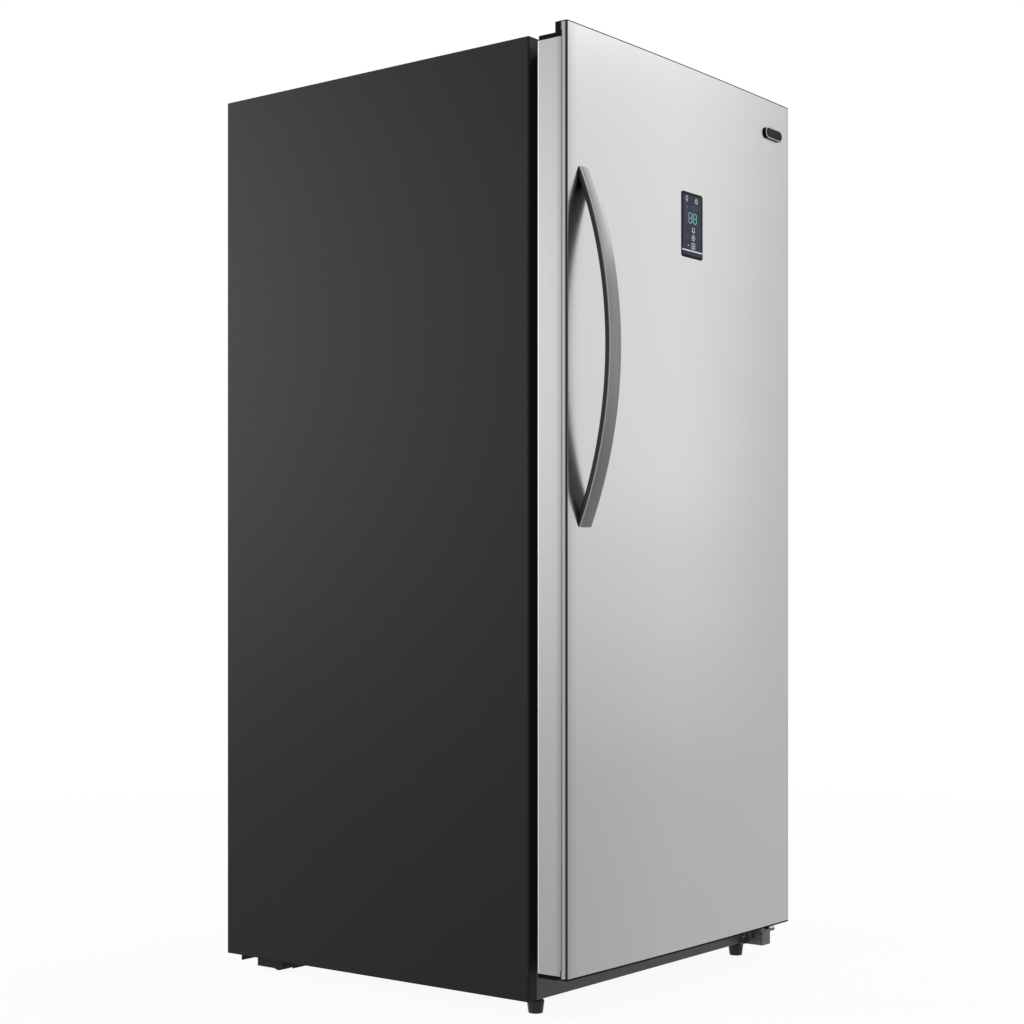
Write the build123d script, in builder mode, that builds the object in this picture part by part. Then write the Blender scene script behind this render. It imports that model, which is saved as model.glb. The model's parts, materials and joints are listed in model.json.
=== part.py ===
# Upright freezer with one full-height door, hinged on its right.
# Millimetres. Z is up from the floor, the door faces -Y, and the origin is on
# the floor under the middle of the whole outline.
from build123d import *
import math
import os

os.makedirs("parts", exist_ok=True)

# ---------------------------------------------------------------- sizes
# cabinet
cabinet_width = 700.0
cabinet_depth = 675.0
cabinet_height = 1526.0
floor_gap = 24.0
sheet = 1.0
flange_width = 46.0
flange_return = 12.0
edge_radius = 3.0
kick_notch = 22.0  # width of the side flange beside the front rail
side_wall = 60.0
top_wall = 60.0
back_wall = 58.0
liner_wall = 2.0
liner_radius = 18.0

# front rail and base
rail_height = 92.0
rail_return = 24.0
rail_sheet = 1.5
foam_floor = 46.0  # underside of the insulation above the cabinet's lower edge
cavity_floor = 96.0
step_depth = 250.0  # compressor space, from the back
step_height = 222.0
step_wall = 44.0
step_slope = 60.0

# door
door_gap = 18.4
door_thickness = 55.9
door_bow = 4.5
door_edge_radius = 3.5
skin_bottom = 45.2  # heights on the door are from the cabinet's lower edge
skin_over = 11.0  # top of the skin over the cabinet's top
skin_lip = 12.8
skin_wrap = 9.0
skin_groove = 1.2
side_bottom = 48.4
side_under = 11.5  # top of the side strips under the cabinet's top
side_return = 26.0
cap_under = 4.0  # rear of the top cap under the cabinet's top
cap_over = 12.6  # its front rim over it
cap_lip = 9.5
cap_skirt = 12.0
cap_bottom = 41.5
cap_wall = 3.0

# gasket and door liner
gasket_inset = 23.0
gasket_width = 21.0
gasket_foot = 5.0
gasket_neck = 4.2  # how far the bellows stand in from the foot's edges
dyke_depth = 30.0
dyke_clearance = 8.0
dyke_width = 26.0
dyke_radius = 20.0
dyke_bevel = 5.0

# hinges
pin_inset = 20.0
pin_forward = 45.0
pin_radius = 4.0
pin_play = 0.05
pin_reach = 18.0
pin_end = 3.0  # room over the pin's end in its bush
bush_radius = 6.5  # across its flats
bush_flange = 9.0
bush_flange_height = 1.0
bush_sides = 6
flange_sides = 12
leaf_thickness = 5.0
leaf_level = 25.5
leaf_reach = 52.0
bracket_inset = 5.0  # from the cabinet's side
bracket_width = 44.0
bracket_sheet = 3.0
bracket_drop = 2.5
gusset_inset = 16.0
gusset_reach = 38.0
gusset_hole = 4.0
top_leaf = 3.0
top_leaf_left = 100.0  # how far the upper leaf runs to the left of its pin
top_leaf_right = 20.0  # and how far short of it the leaf's broad end stops
top_leaf_back = 78.0
top_leaf_front = 6.0
top_nose = 6.5
hinge_cover_edge = 6.0
hinge_cover_bevel = 4.0
screw_head = 4.8
screw_head_height = 2.2
screw_shank = 2.5
screw_length = 12.0
screw_inset = 8.0
screw_sides = 6

# handle
handle_inset = 30.0
handle_width = 34.0
handle_thickness = 10.0
handle_drop = 776.0  # from the cabinet's top to the handle's lower end
handle_length = 566.0
handle_sagitta = 57.0
handle_end = 3.0
handle_edge = 1.2
stud_radius = 4.0
stud_from_end = 24.0
stud_depth = 16.0  # into the door
stud_engage = 6.0  # beyond the foot of the handle's curve
stud_head = 9.0
stud_head_height = 3.0
stud_sides = 8
grub_radius = 2.0
grub_set_in = 1.0

# display and badge
display_width = 65.0
display_height = 109.0
display_centre = 8.0
display_drop = 310.0  # from the cabinet's top to the display's lower edge
display_radius = 5.0
display_proud = 0.6
display_glass_thickness = 2.0
display_box_depth = 16.0
board_thickness = 1.6
badge_width = 62.0
badge_height = 20.0
badge_inset = 63.5  # from the door's hinge side to the badge's middle
badge_drop = 58.0  # from the cabinet's top to the badge's lower edge
badge_proud = 4.0

# shelves, basket and door bins
shelf_count = 4
shelf_low = 295.0
shelf_pitch = 267.0
shelf_front = 104.0
shelf_glass = 4.0
shelf_play = 3.0
shelf_gap_back = 4.0
trim_bevel = 2.0
trim_height = 10.0
trim_front_height = 18.0
trim_depth = 14.0
trim_side = 8.0
trim_grip = 4.0  # how far the trim holds the glass
ledge_height = 8.0
ledge_reach = 12.0
bin_over_shelf = 27.0
bin_depth = 106.0
bin_height = 92.0
bin_wall = 2.5
bin_play = 2.0
bin_lean = 12.0
bin_radius = 10.0
lug_reach = 6.0
lug_height = 7.0
lug_depth = 44.0
basket_side_gap = 47.0
basket_front = 62.0
basket_back_gap = 33.0
basket_height = 150.0
basket_wall = 2.5
basket_lift = 8.0
basket_lean = 10.0
basket_radius = 12.0
basket_rim = 16.0  # side rims that ride on the runners
basket_rim_set_back = 84.0
basket_slots = 7
basket_slot_pitch = 62.0
basket_slot_width = 20.0
runner_height = 12.0
runner_overlap = 12.0
runner_play = 0.3
runner_set_back = 50.0
side_play = 1.0

# air side of the cooling system
cover_gap = 62.0  # evaporator space, between its cover and the liner's back
cover_wall = 3.0
vent_pitch = 16.0
vent_height = 7.0
vent_width = 150.0
return_vent_rows = 2
supply_vent_rows = 6
shelf_vent_drop = 50.0
coil_length = 430.0
coil_rows = 4
coil_pitch = 44.0
coil_depth = 42.0
coil_fins = 9
coil_rise = 130.0  # lowest run over the step
return_vent_drop = 60.0
heater_radius = 3.5
fin_thickness = 0.8
tube_radius = 4.0
bend_sides = 8
evap_fan_radius = 52.0
evap_fan_depth = 22.0
evap_fan_drop = 160.0  # from the cavity's top to the fan's axis
lamp_length = 220.0
lamp_depth = 26.0
lamp_height = 10.0

# machine compartment
pan_level = 26.0
pan_sheet = 1.5
pan_depth = 236.0
compressor_radius = 68.0
compressor_height = 158.0
compressor_x = -150.0
compressor_dome = 20.0
shell_sides = 20
terminal_width = 44.0
terminal_height = 50.0
terminal_reach = 22.0
mount_radius = 11.0
mount_height = 15.0
mount_sides = 8
mount_spacing = 96.0
condenser_length = 170.0
condenser_fins = 8
condenser_rows = 4
condenser_pitch = 30.0
condenser_x = 200.0
condenser_fin_width = 70.0
cond_fan_radius = 62.0
cond_fan_depth = 26.0
cond_fan_x = 36.0
fan_blades = 5
blade_angle = 32
blade_share = 1.3  # blade's width over the rotor's depth
blade_thickness = 2.0
bore_share = 0.7  # depth of the rotor's bore over the rotor's depth
fan_hub = 16.0
motor_radius = 20.0
motor_sides = 12
ring_sides = 16
fan_spoke = 8.0
fan_frame_wall = 4.0
fan_play = 4.0
shaft_radius = 3.0
drain_pan_height = 26.0
drain_pan_wall = 2.0
drain_pan_margin = 12.0
drain_bar = 6.0
tube_bend = 12.0
pipe_radius = 3.2
pipe_sides = 6
drier_radius = 10.0
drier_length = 70.0
drier_drop = 30.0
drier_sides = 12
cover_sheet = 1.2
cover_slots = 6
cover_slot_pitch = 22.0
cover_slot_width = 190.0
cover_slot_height = 8.0
gland_radius = 11.0
gland_sides = 8
gland_rim = 4.0
gland_flange = 3.0
gland_depth = 8.0
gland_inset = 65.0  # from the cabinet's left side

# rollers and feet
roller_radius = 19.0
roller_width = 20.0
roller_axle = 4.0
roller_centre_back = 97.5  # from the cabinet's back to the axle
bracket_block = 42.0
foot_inset = 39.0  # from the cabinet's side to the middle of a base rail, a foot and a roller
base_rail_width = 40.0
base_rail_sheet = 2.0
base_rail_level = 6.0
foot_back = 15.0
foot_radius_top = 13.6
foot_radius_bottom = 11.3
foot_height = 20.0
foot_rim = 2.0  # upright band at the top of its grip
foot_sides = 12
foot_stud_radius = 5.0
foot_stud_length = 26.0
foot_play = 0.05
foot_hole_margin = 2.0  # round the stud, in the front rail

# ---------------------------------------------------------------- places
half = cabinet_width / 2
handle_x = -half + handle_inset + handle_width / 2


def bow_at(x):
    # how far the bowed front stands out of the plane of its own edges at x
    return door_bow * (1 - (x / half) ** 2)


handle_reach = handle_end + handle_sagitta + bow_at(-half + handle_inset)
overall_depth = cabinet_depth + door_gap + door_thickness + handle_reach
back = overall_depth / 2
front = back - cabinet_depth
base = floor_gap
top = base + cabinet_height
door_back = front - door_gap
door_front = door_back - door_thickness
cavity_half = half - side_wall
cavity_bottom = base + cavity_floor
cavity_top = top - top_wall
cavity_back = back - back_wall
step_front = back - step_depth
pin_x = half - pin_inset
pin_y = front - pin_forward
inner_skin = half - sheet
rail_top = base + rail_height
foam_bottom = base + foam_floor
skin_top = cabinet_height + skin_over
side_top = cabinet_height - side_under
cap_top_rear = cabinet_height - cap_under
cap_top_rim = cabinet_height + cap_over
handle_low = base + cabinet_height - handle_drop
handle_high = handle_low + handle_length
display_low = base + cabinet_height - display_drop
display_high = display_low + display_height
bracket_right = half - bracket_inset
bracket_left = bracket_right - bracket_width
gusset_x = bracket_left + gusset_inset
base_rail_x = half - foot_inset
gland_x = gland_inset - half
step_top = base + step_height + step_wall
step_face = step_front - step_wall
basket_width = 2 * (cavity_half - basket_side_gap)
basket_depth = step_face - front - basket_front - basket_back_gap
evap_fan_level = cavity_top - evap_fan_drop
coil_level = step_top + coil_rise
shelf_levels = [shelf_low + i * shelf_pitch for i in range(shelf_count)]
bin_levels = [level + bin_over_shelf for level in shelf_levels]


def block(x, y, z, mode=Mode.ADD):
    # a box between two limits on each axis
    with Locations(((x[0] + x[1]) / 2, (y[0] + y[1]) / 2, (z[0] + z[1]) / 2)):
        Box(x[1] - x[0], y[1] - y[0], z[1] - z[0], mode=mode)


def rod(radius, plane, length, mode=Mode.ADD):
    # a cylinder that starts on a plane and follows its normal
    add(plane.location * Cylinder(radius, length, align=(Align.CENTER, Align.CENTER, Align.MIN),
                                  mode=Mode.PRIVATE), mode=mode)


def polygon(radius, sides, mode=Mode.ADD):
    # a regular outline, radius to its flats, in the sketch that calls it
    RegularPolygon(radius, sides, major_radius=False, rotation=180 / sides, mode=mode)


def prism(radius, sides, plane, length, mode=Mode.ADD):
    # a regular prism that starts on a plane and follows its normal
    with BuildSketch(plane) as outline:
        polygon(radius, sides)
    extrude(outline.sketch, amount=length, mode=mode)


def save(part, label):
    part.label = label
    export_step(part, f"parts/{label}.step")


# where the screws of the upper hinge (x, y) and of the lower one (x, z) go
leaf_left = pin_x - top_leaf_left
leaf_right = pin_x - top_leaf_right
leaf_y = (front + top_leaf_front, front + top_leaf_front + top_leaf_back)
top_screws = [(leaf_left + 2 * screw_inset, leaf_y[0] + 2 * screw_inset),
              (leaf_left + 2 * screw_inset, leaf_y[1] - 2 * screw_inset),
              (leaf_right - 2 * screw_inset, leaf_y[1] - 4 * screw_inset)]
screw_top = base + foam_floor - screw_inset
low_screws = [(bracket_left + screw_inset, base + 1.75 * screw_inset),
              (bracket_left + screw_inset, screw_top), (bracket_right - screw_inset, screw_top)]


def screw_holes():
    # clearance for the shanks, cut from whatever the screws pass through
    for x, y in top_screws:
        prism(screw_shank + pin_play, screw_sides, Plane((x, y, top - screw_length)),
              2 * screw_length, Mode.SUBTRACT)
    for x, z in low_screws:
        prism(screw_shank + pin_play, screw_sides, Plane((x, front - screw_length, z), z_dir=(0, 1, 0)),
              2 * screw_length, Mode.SUBTRACT)


# ---------------------------------------------------------------- cabinet skins
def side_profile(flange):
    # plan of the left side panel: front flange, rounded edge, side, rear flange
    outer = [(-half + flange, front), (-half, front), (-half, back), (-half + flange_return, back)]
    with BuildSketch() as plan:
        with BuildLine():
            path = Polyline(*outer)
            fillet(path.vertices().filter_by(lambda v: abs(v.X + half) < 1 and v.Y < 0), edge_radius)
            offset(amount=sheet, side=Side.RIGHT, closed=True)
        make_face()
    return plan.sketch


with BuildPart() as side_panel_left:
    with BuildSketch(Plane.XY.offset(rail_top)):
        add(side_profile(flange_width))
    extrude(amount=top - sheet - rail_top)
    with BuildSketch(Plane.XY.offset(base)):
        add(side_profile(kick_notch))
    extrude(amount=rail_height)
save(side_panel_left.part, "side_panel_left")

with BuildPart() as side_panel_right:
    add(mirror(side_panel_left.part, Plane.YZ, mode=Mode.PRIVATE))
    screw_holes()
save(side_panel_right.part, "side_panel_right")

with BuildPart() as top_panel:
    with BuildSketch(Plane.YZ):
        with BuildLine():
            edge = Polyline((front, top - flange_width), (front, top), (back, top),
                            (back, top - flange_return))
            fillet(edge.vertices().filter_by(lambda v: v.Z > top - 1 and v.Y < 0), edge_radius)
            offset(amount=sheet, side=Side.RIGHT, closed=True)
        make_face()
    extrude(amount=half, both=True)
    # the front flange runs between the side flanges
    for side in (-1, 1):
        limits = sorted((side * (half - flange_width), side * (half + 1)))
        block(limits, (front - 1, front + edge_radius + sheet), (top - flange_width - 1, top - sheet),
              Mode.SUBTRACT)
        limits = sorted((side * (half - flange_return), side * (half + 1)))
        block(limits, (back - edge_radius, back + 1), (top - flange_return - 1, top - sheet), Mode.SUBTRACT)
    screw_holes()
save(top_panel.part, "top_panel")

with BuildPart() as back_panel:
    block((-half + flange_return, half - flange_return), (back - sheet, back),
          (base + step_height, top - flange_return))
save(back_panel.part, "back_panel")

# ---------------------------------------------------------------- liner and foam
cover_front = cavity_back - cover_gap - cover_wall
shelf_half = cavity_half - shelf_play
runner_inner = basket_width / 2 + basket_rim - runner_overlap
runner_top = cavity_bottom + basket_lift + basket_height - runner_height


def cavity(grow):
    # the storage space with its step over the compressor; grow moves every wall outwards
    mouth = front - edge_radius
    with BuildPart() as space:
        with BuildSketch(Plane.YZ):
            with BuildLine():
                Polyline((mouth, cavity_bottom), (step_face, cavity_bottom),
                         (step_face, step_top - step_slope), (step_face + step_slope, step_top),
                         (cavity_back, step_top), (cavity_back, cavity_top), (mouth, cavity_top),
                         close=True)
            make_face()
            offset(amount=grow, kind=Kind.INTERSECTION)
        extrude(amount=cavity_half + grow, both=True)
        lengthwise = space.edges().filter_by(Axis.Y).group_by(Axis.Z)
        fillet(lengthwise[0] + lengthwise[-1], liner_radius + grow)
    return space.part


with BuildPart() as inner_liner:
    add(cavity(liner_wall))
    flange = half - flange_width
    block((-flange, flange), (front, front + liner_wall), (rail_top, top - flange_width))
    block((-half, half), (front - 2 * liner_radius, front), (0, top), Mode.SUBTRACT)
    add(cavity(0), mode=Mode.SUBTRACT)
    for side in (-1, 1):
        ledge = sorted((side * cavity_half, side * (cavity_half - ledge_reach)))
        for level in shelf_levels:
            z = base + level
            block(ledge, (front + shelf_front + trim_depth, cover_front - side_play), (z - ledge_height, z))
        runner = sorted((side * cavity_half, side * runner_inner))
        block(runner, (front + runner_set_back, step_face), (runner_top - runner_height, runner_top))
save(inner_liner.part, "inner_liner")

with BuildPart() as cabinet_foam:
    block((-inner_skin, inner_skin), (front + sheet, back - sheet), (foam_bottom + sheet, top - sheet))
    # bevelled behind the rounded edges of the skins
    foremost = cabinet_foam.faces().sort_by(Axis.Y)[0].edges()
    chamfer(foremost.filter_by(Axis.Z) + foremost.sort_by(Axis.Z)[-1:], edge_radius - sheet)
    add(cavity(liner_wall), mode=Mode.SUBTRACT)
    block((-half, half), (front, front + liner_wall), (rail_top, top - flange_width), Mode.SUBTRACT)
    block((-half, half), (front, front + rail_return), (base, rail_top), Mode.SUBTRACT)
    block((-half, half), (step_front - sheet, back), (base, base + step_height + sheet), Mode.SUBTRACT)
    screw_holes()
save(cabinet_foam.part, "cabinet_foam")

with BuildPart() as bottom_plate:
    with BuildSketch(Plane.YZ):
        with BuildLine():
            Polyline((front + rail_return, foam_bottom), (step_front, foam_bottom),
                     (step_front, base + step_height), (back - sheet, base + step_height))
            offset(amount=sheet, side=Side.LEFT, closed=True)
        make_face()
    extrude(amount=inner_skin, both=True)
save(bottom_plate.part, "bottom_plate")

# ---------------------------------------------------------------- rail, base rails, rollers, feet
foot_y = front + foot_back
axle_y = back - roller_centre_back
rail_web = base_rail_x + base_rail_width / 2

with BuildPart() as front_rail:
    with BuildSketch(Plane.YZ):
        with BuildLine():
            Polyline((front + rail_return, base), (front, base), (front, rail_top),
                     (front + rail_return, rail_top))
            offset(amount=rail_sheet, side=Side.RIGHT, closed=True)
        make_face()
    extrude(amount=half - kick_notch, both=True)
    for side in (-1, 1):
        prism(foot_stud_radius + foot_hole_margin, foot_sides,
              Plane((side * base_rail_x, foot_y, base - rail_sheet)), 3 * rail_sheet, Mode.SUBTRACT)
    screw_holes()
save(front_rail.part, "front_rail")


def rail_profile(height):
    # section of a base rail: a channel that opens towards the middle
    low = base + base_rail_level
    inner = rail_web - base_rail_width
    with BuildSketch() as section:
        with BuildLine():
            Polyline((inner, low), (rail_web, low), (rail_web, height), (inner, height))
            offset(amount=base_rail_sheet, side=Side.LEFT, closed=True)
        make_face()
    return section.sketch


with BuildPart() as one_rail:
    rail_start = front + rail_return
    with BuildSketch(Plane(origin=(0, step_front, 0), x_dir=(1, 0, 0), z_dir=(0, -1, 0))):
        add(rail_profile(foam_bottom))
    extrude(amount=step_front - rail_start)
    with BuildSketch(Plane(origin=(0, back - cover_sheet - side_play, 0), x_dir=(1, 0, 0), z_dir=(0, -1, 0))):
        add(rail_profile(base + pan_level))
    extrude(amount=back - cover_sheet - side_play - step_front)
    # tongue that carries the levelling foot
    tongue = (base + base_rail_level, base + base_rail_level + 2 * base_rail_sheet)
    block((base_rail_x - foot_radius_top, base_rail_x + foot_radius_top),
          (front + rail_sheet, rail_start + foot_radius_top), tongue)
    rod(foot_stud_radius + foot_play, Plane((base_rail_x, foot_y, base)), rail_height, Mode.SUBTRACT)
    # slot and cheeks for the rear roller, with its axle
    gap = roller_width / 2 + side_play
    slot = roller_radius + side_play
    block((base_rail_x - gap, base_rail_x + gap), (axle_y - slot, axle_y + slot),
          (base, base + base_rail_level + 2 * base_rail_sheet), Mode.SUBTRACT)
    for side in (-1, 1):
        cheek = sorted((base_rail_x + side * gap, base_rail_x + side * (gap + base_rail_sheet)))
        with BuildSketch(Plane.YZ.offset(cheek[0])):
            with BuildLine():
                wide = bracket_block / 2
                low = roller_radius - 2 * roller_axle
                high = base + base_rail_level
                Polyline((axle_y - wide, high), (axle_y - wide, roller_radius), (axle_y - wide / 2, low),
                         (axle_y + wide / 2, low), (axle_y + wide, roller_radius),
                         (axle_y + wide, high), close=True)
            make_face()
        extrude(amount=base_rail_sheet)
    rod(roller_axle, Plane((base_rail_x - gap, axle_y, roller_radius), z_dir=(1, 0, 0)), 2 * gap)

with BuildPart() as base_rails:
    add(one_rail.part)
    add(mirror(one_rail.part, Plane.YZ, mode=Mode.PRIVATE))
save(base_rails.part, "base_rails")

for side, name in ((-1, "left"), (1, "right")):
    # tapered grip with flats for turning, on its threaded stud
    with BuildPart() as levelling_foot:
        prism(foot_radius_top, foot_sides, Plane((side * base_rail_x, foot_y, 0)), foot_height)
        sole = levelling_foot.faces().sort_by(Axis.Z)[0]
        chamfer(sole.edges(), foot_radius_top - foot_radius_bottom, foot_height - foot_rim, reference=sole)
        rod(foot_stud_radius, Plane((side * base_rail_x, foot_y, foot_height)), foot_stud_length)
    save(levelling_foot.part, f"levelling_foot_{name}")

    with BuildPart() as rear_roller:
        start = side * base_rail_x - roller_width / 2
        rod(roller_radius, Plane((start, axle_y, roller_radius), z_dir=(1, 0, 0)), roller_width)
        rod(roller_axle + pin_play, Plane((start, axle_y, roller_radius), z_dir=(1, 0, 0)), roller_width,
            Mode.SUBTRACT)
    save(rear_roller.part, f"rear_roller_{name}")

# ---------------------------------------------------------------- machine compartment
pan_z = base + pan_level
pan_top = pan_z + pan_sheet
machine_y = (step_front + back) / 2
pan_half = half - kick_notch
pan_front = back - cover_sheet - pan_depth
mounts_at = [(compressor_x + i * mount_spacing / 2, machine_y + j * mount_spacing / 2)
             for i in (-1, 1) for j in (-1, 1)]

with BuildPart() as compressor_pan:
    block((-pan_half, pan_half), (pan_front, back - cover_sheet), (pan_z, pan_top))
save(compressor_pan.part, "compressor_pan")

with BuildPart() as compressor_mounts:
    for x, y in mounts_at:
        prism(mount_radius, mount_sides, Plane((x, y, pan_top)), mount_height)
save(compressor_mounts.part, "compressor_mounts")

plate = pan_top + mount_height
shell_low = plate + base_rail_sheet
foot_plate = mount_spacing / 2 + 1.5 * mount_radius

with BuildPart() as compressor:
    block((compressor_x - foot_plate, compressor_x + foot_plate),
          (machine_y - foot_plate, machine_y + foot_plate), (plate, shell_low))
    chamfer(compressor.edges().filter_by(Axis.Z), mount_radius)
    prism(compressor_radius, shell_sides, Plane((compressor_x, machine_y, shell_low)), compressor_height)
    chamfer(compressor.faces().sort_by(Axis.Z)[-1].edges(), compressor_dome)
    # terminal box on the back of the shell
    terminal_back = machine_y + compressor_radius + terminal_reach
    block((compressor_x - terminal_width / 2, compressor_x + terminal_width / 2),
          (machine_y + compressor_radius / 2, terminal_back),
          (shell_low + terminal_height, shell_low + 2 * terminal_height))
save(compressor.part, "compressor")


def finned_coil(origin, turn, length, rows, pitch, fins, fin_size):
    # a stack of fins on one tube that runs to and fro; the runs lie in the stack's core and
    # the return bends stand out at both ends; origin is the lower run's middle
    with BuildPart() as coil:
        with BuildSketch(Plane.XY.offset(-pitch / 2)):
            Rectangle(length, 2 * tube_radius)
            with GridLocations(length / fins, 0, fins, 1):
                Rectangle(fin_thickness, fin_size)
        extrude(amount=rows * pitch)
        for row in range(rows - 1):
            side = 1 if row % 2 == 0 else -1
            with BuildSketch(Plane.XZ.offset(-tube_radius)):
                with Locations((side * length / 2, (row + 0.5) * pitch)):
                    polygon(pitch / 2 + tube_radius, bend_sides)
                    polygon(pitch / 2 - tube_radius, bend_sides, Mode.SUBTRACT)
                # only the half beyond the stack's end
                with Locations((side * (length / 2 + pitch), (row + 0.5) * pitch)):
                    Rectangle(2 * pitch, 2 * pitch, mode=Mode.INTERSECT)
            extrude(amount=2 * tube_radius)
    return coil.part.moved(Location(origin, (0, 0, turn)))


drain_half = condenser_fin_width / 2 + drain_pan_margin
drain_x = (condenser_x - drain_half, condenser_x + drain_half)
drain_y = (machine_y - condenser_length / 2 - condenser_pitch / 2 - drain_pan_margin,
           machine_y + condenser_length / 2 + condenser_pitch / 2)
drain_top = pan_top + drain_pan_height
condenser_level = drain_top + condenser_pitch / 2

with BuildPart() as drain_pan:
    block(drain_x, drain_y, (pan_top, drain_top))
    chamfer(drain_pan.edges().filter_by(Axis.Z), drain_pan_margin / 2)
    offset(amount=-drain_pan_wall, openings=drain_pan.faces().sort_by(Axis.Z)[-1])
    # two bars that carry the condenser
    for y in (machine_y - condenser_length / 4, machine_y + condenser_length / 4):
        block((drain_x[0] + drain_pan_wall / 2, drain_x[1] - drain_pan_wall / 2),
              (y - drain_bar / 2, y + drain_bar / 2), (drain_top - drain_bar, drain_top))
save(drain_pan.part, "drain_pan")

with BuildPart() as condenser:
    add(finned_coil((condenser_x, machine_y, condenser_level), 90, condenser_length, condenser_rows,
                    condenser_pitch, condenser_fins, condenser_fin_width))
save(condenser.part, "condenser")

cond_fan_z = condenser_level + (condenser_rows - 1) * condenser_pitch / 2
cond_frame = cond_fan_radius + fan_play + fan_frame_wall


def fan_rotor(radius, depth, plane):
    # hub and pitched blades about a plane's normal; the blades' corners reach the radius
    chord = blade_share * depth
    tip = math.sqrt(radius**2 - (chord / 2) ** 2)
    with BuildPart() as rotor:
        with PolarLocations(0, fan_blades):
            with Locations(Location((tip / 2, 0, depth / 2), (blade_angle, 0, 0))):
                Box(tip, chord, blade_thickness)
        prism(fan_hub, motor_sides, Plane.XY, depth)
        rod(shaft_radius + pin_play, Plane.XY, bore_share * depth, Mode.SUBTRACT)
    return plane.location * rotor.part


frame_start = cond_fan_x - cond_fan_depth - shaft_radius
cond_axis = Plane((cond_fan_x - cond_fan_depth / 2, machine_y, cond_fan_z), x_dir=(0, 1, 0), z_dir=(1, 0, 0))

with BuildPart() as condenser_fan_frame:
    with BuildSketch(Plane.YZ.offset(frame_start)):
        with Locations((machine_y, cond_fan_z)):
            Rectangle(2 * cond_frame, 2 * cond_frame)
            polygon(cond_fan_radius + fan_play, ring_sides, Mode.SUBTRACT)
    extrude(amount=1.5 * cond_fan_depth + shaft_radius)
    # foot down to the pan, then the spokes with the motor and its shaft
    block((frame_start, cond_fan_x), (machine_y - cond_frame / 2, machine_y + cond_frame / 2),
          (pan_top, cond_fan_z - cond_frame))
    with BuildSketch(Plane.YZ.offset(frame_start)):
        with Locations((machine_y, cond_fan_z)):
            with PolarLocations(0, 3):
                with Locations(((cond_frame - fan_frame_wall / 2) / 2, 0)):
                    Rectangle(cond_frame - fan_frame_wall / 2, fan_spoke)
            polygon(motor_radius, motor_sides)
    extrude(amount=fan_spoke)
    rod(shaft_radius, Plane((frame_start + fan_spoke, machine_y, cond_fan_z), z_dir=(1, 0, 0)),
        cond_fan_depth - fan_spoke / 2)
save(condenser_fan_frame.part, "condenser_fan_frame")

with BuildPart() as condenser_fan:
    add(fan_rotor(cond_fan_radius, cond_fan_depth, cond_axis))
save(condenser_fan.part, "condenser_fan")


def pipe(*points):
    # a pipe along a path with its corners cut off
    path = [Vector(points[0])]
    for before, corner, after in zip(points, points[1:], points[2:]):
        for end in (before, after):
            path.append(Vector(corner) + (Vector(end) - Vector(corner)).normalized() * tube_bend)
    path.append(Vector(points[-1]))
    with BuildPart() as run:
        with BuildLine():
            Polyline(*path)
        with BuildSketch(Plane(origin=path[0], z_dir=path[1] - path[0])):
            polygon(pipe_radius, pipe_sides)
        sweep(transition=Transition.RIGHT)
    return run.part


tube_z = shell_low + compressor_height / 2
tube_y = machine_y - condenser_length / 2 - 2 * tube_bend
suction_x = compressor_x - compressor_radius - 2 * tube_bend
ceiling = base + step_height
top_run = condenser_level + (condenser_rows - 1) * condenser_pitch
coil_end = machine_y - condenser_length / 2
drier_x = condenser_x + condenser_fin_width / 2 + 4 * drier_radius
drier_low = condenser_level + drier_drop

with BuildPart() as refrigerant_tubes:
    # suction, from the compressor up through the insulation
    add(pipe((compressor_x - compressor_radius, machine_y, tube_z), (suction_x, machine_y, tube_z),
             (suction_x, machine_y, ceiling)))
    # hot gas, from the compressor to the condenser's highest run
    add(pipe((compressor_x, machine_y - compressor_radius, tube_z), (compressor_x, tube_y, tube_z),
             (compressor_x, tube_y, ceiling - 2 * tube_bend), (condenser_x, tube_y, ceiling - 2 * tube_bend),
             (condenser_x, tube_y, top_run), (condenser_x, coil_end, top_run)))
    # liquid, from the lowest run through the filter drier and up
    add(pipe((condenser_x, coil_end, condenser_level), (condenser_x, tube_y, condenser_level),
             (drier_x, tube_y, condenser_level), (drier_x, tube_y, drier_low)))
    with BuildPart(mode=Mode.PRIVATE) as drier:
        prism(drier_radius, drier_sides, Plane((drier_x, tube_y, drier_low)), drier_length)
        chamfer(drier.edges().group_by(Axis.Z)[0] + drier.edges().group_by(Axis.Z)[-1], drier_radius / 2)
    add(drier.part)
    prism(pipe_radius, pipe_sides, Plane((drier_x, tube_y, drier_low + drier_length)),
          ceiling - drier_low - drier_length)
save(refrigerant_tubes.part, "refrigerant_tubes")

gland_z = base + step_height / 2
with BuildPart() as rear_cover:
    cover_reach = half - flange_return
    block((-cover_reach, cover_reach), (back - cover_sheet, back), (base, ceiling))
    with BuildSketch(Plane.XZ.offset(-back)):
        with Locations((compressor_x, gland_z), (condenser_x, gland_z)):
            with GridLocations(0, cover_slot_pitch, 1, cover_slots):
                Rectangle(cover_slot_width, cover_slot_height)
        with Locations((gland_x, gland_z)):
            polygon(gland_radius, gland_sides)
    extrude(amount=2 * cover_sheet, mode=Mode.SUBTRACT)
save(rear_cover.part, "rear_cover")

with BuildPart() as cord_gland:
    prism(gland_radius - pin_play, gland_sides,
          Plane((gland_x, back - gland_depth, gland_z), z_dir=(0, 1, 0)), gland_depth)
    prism(gland_radius + gland_rim, gland_sides,
          Plane((gland_x, back - cover_sheet - gland_flange, gland_z), z_dir=(0, 1, 0)), gland_flange)
save(cord_gland.part, "cord_gland")

# ---------------------------------------------------------------- evaporator side
cover_half = cavity_half - side_play
cover_low = step_top + side_play
cover_high = cavity_top - side_play
fan_wall = cover_front + cover_wall

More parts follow.
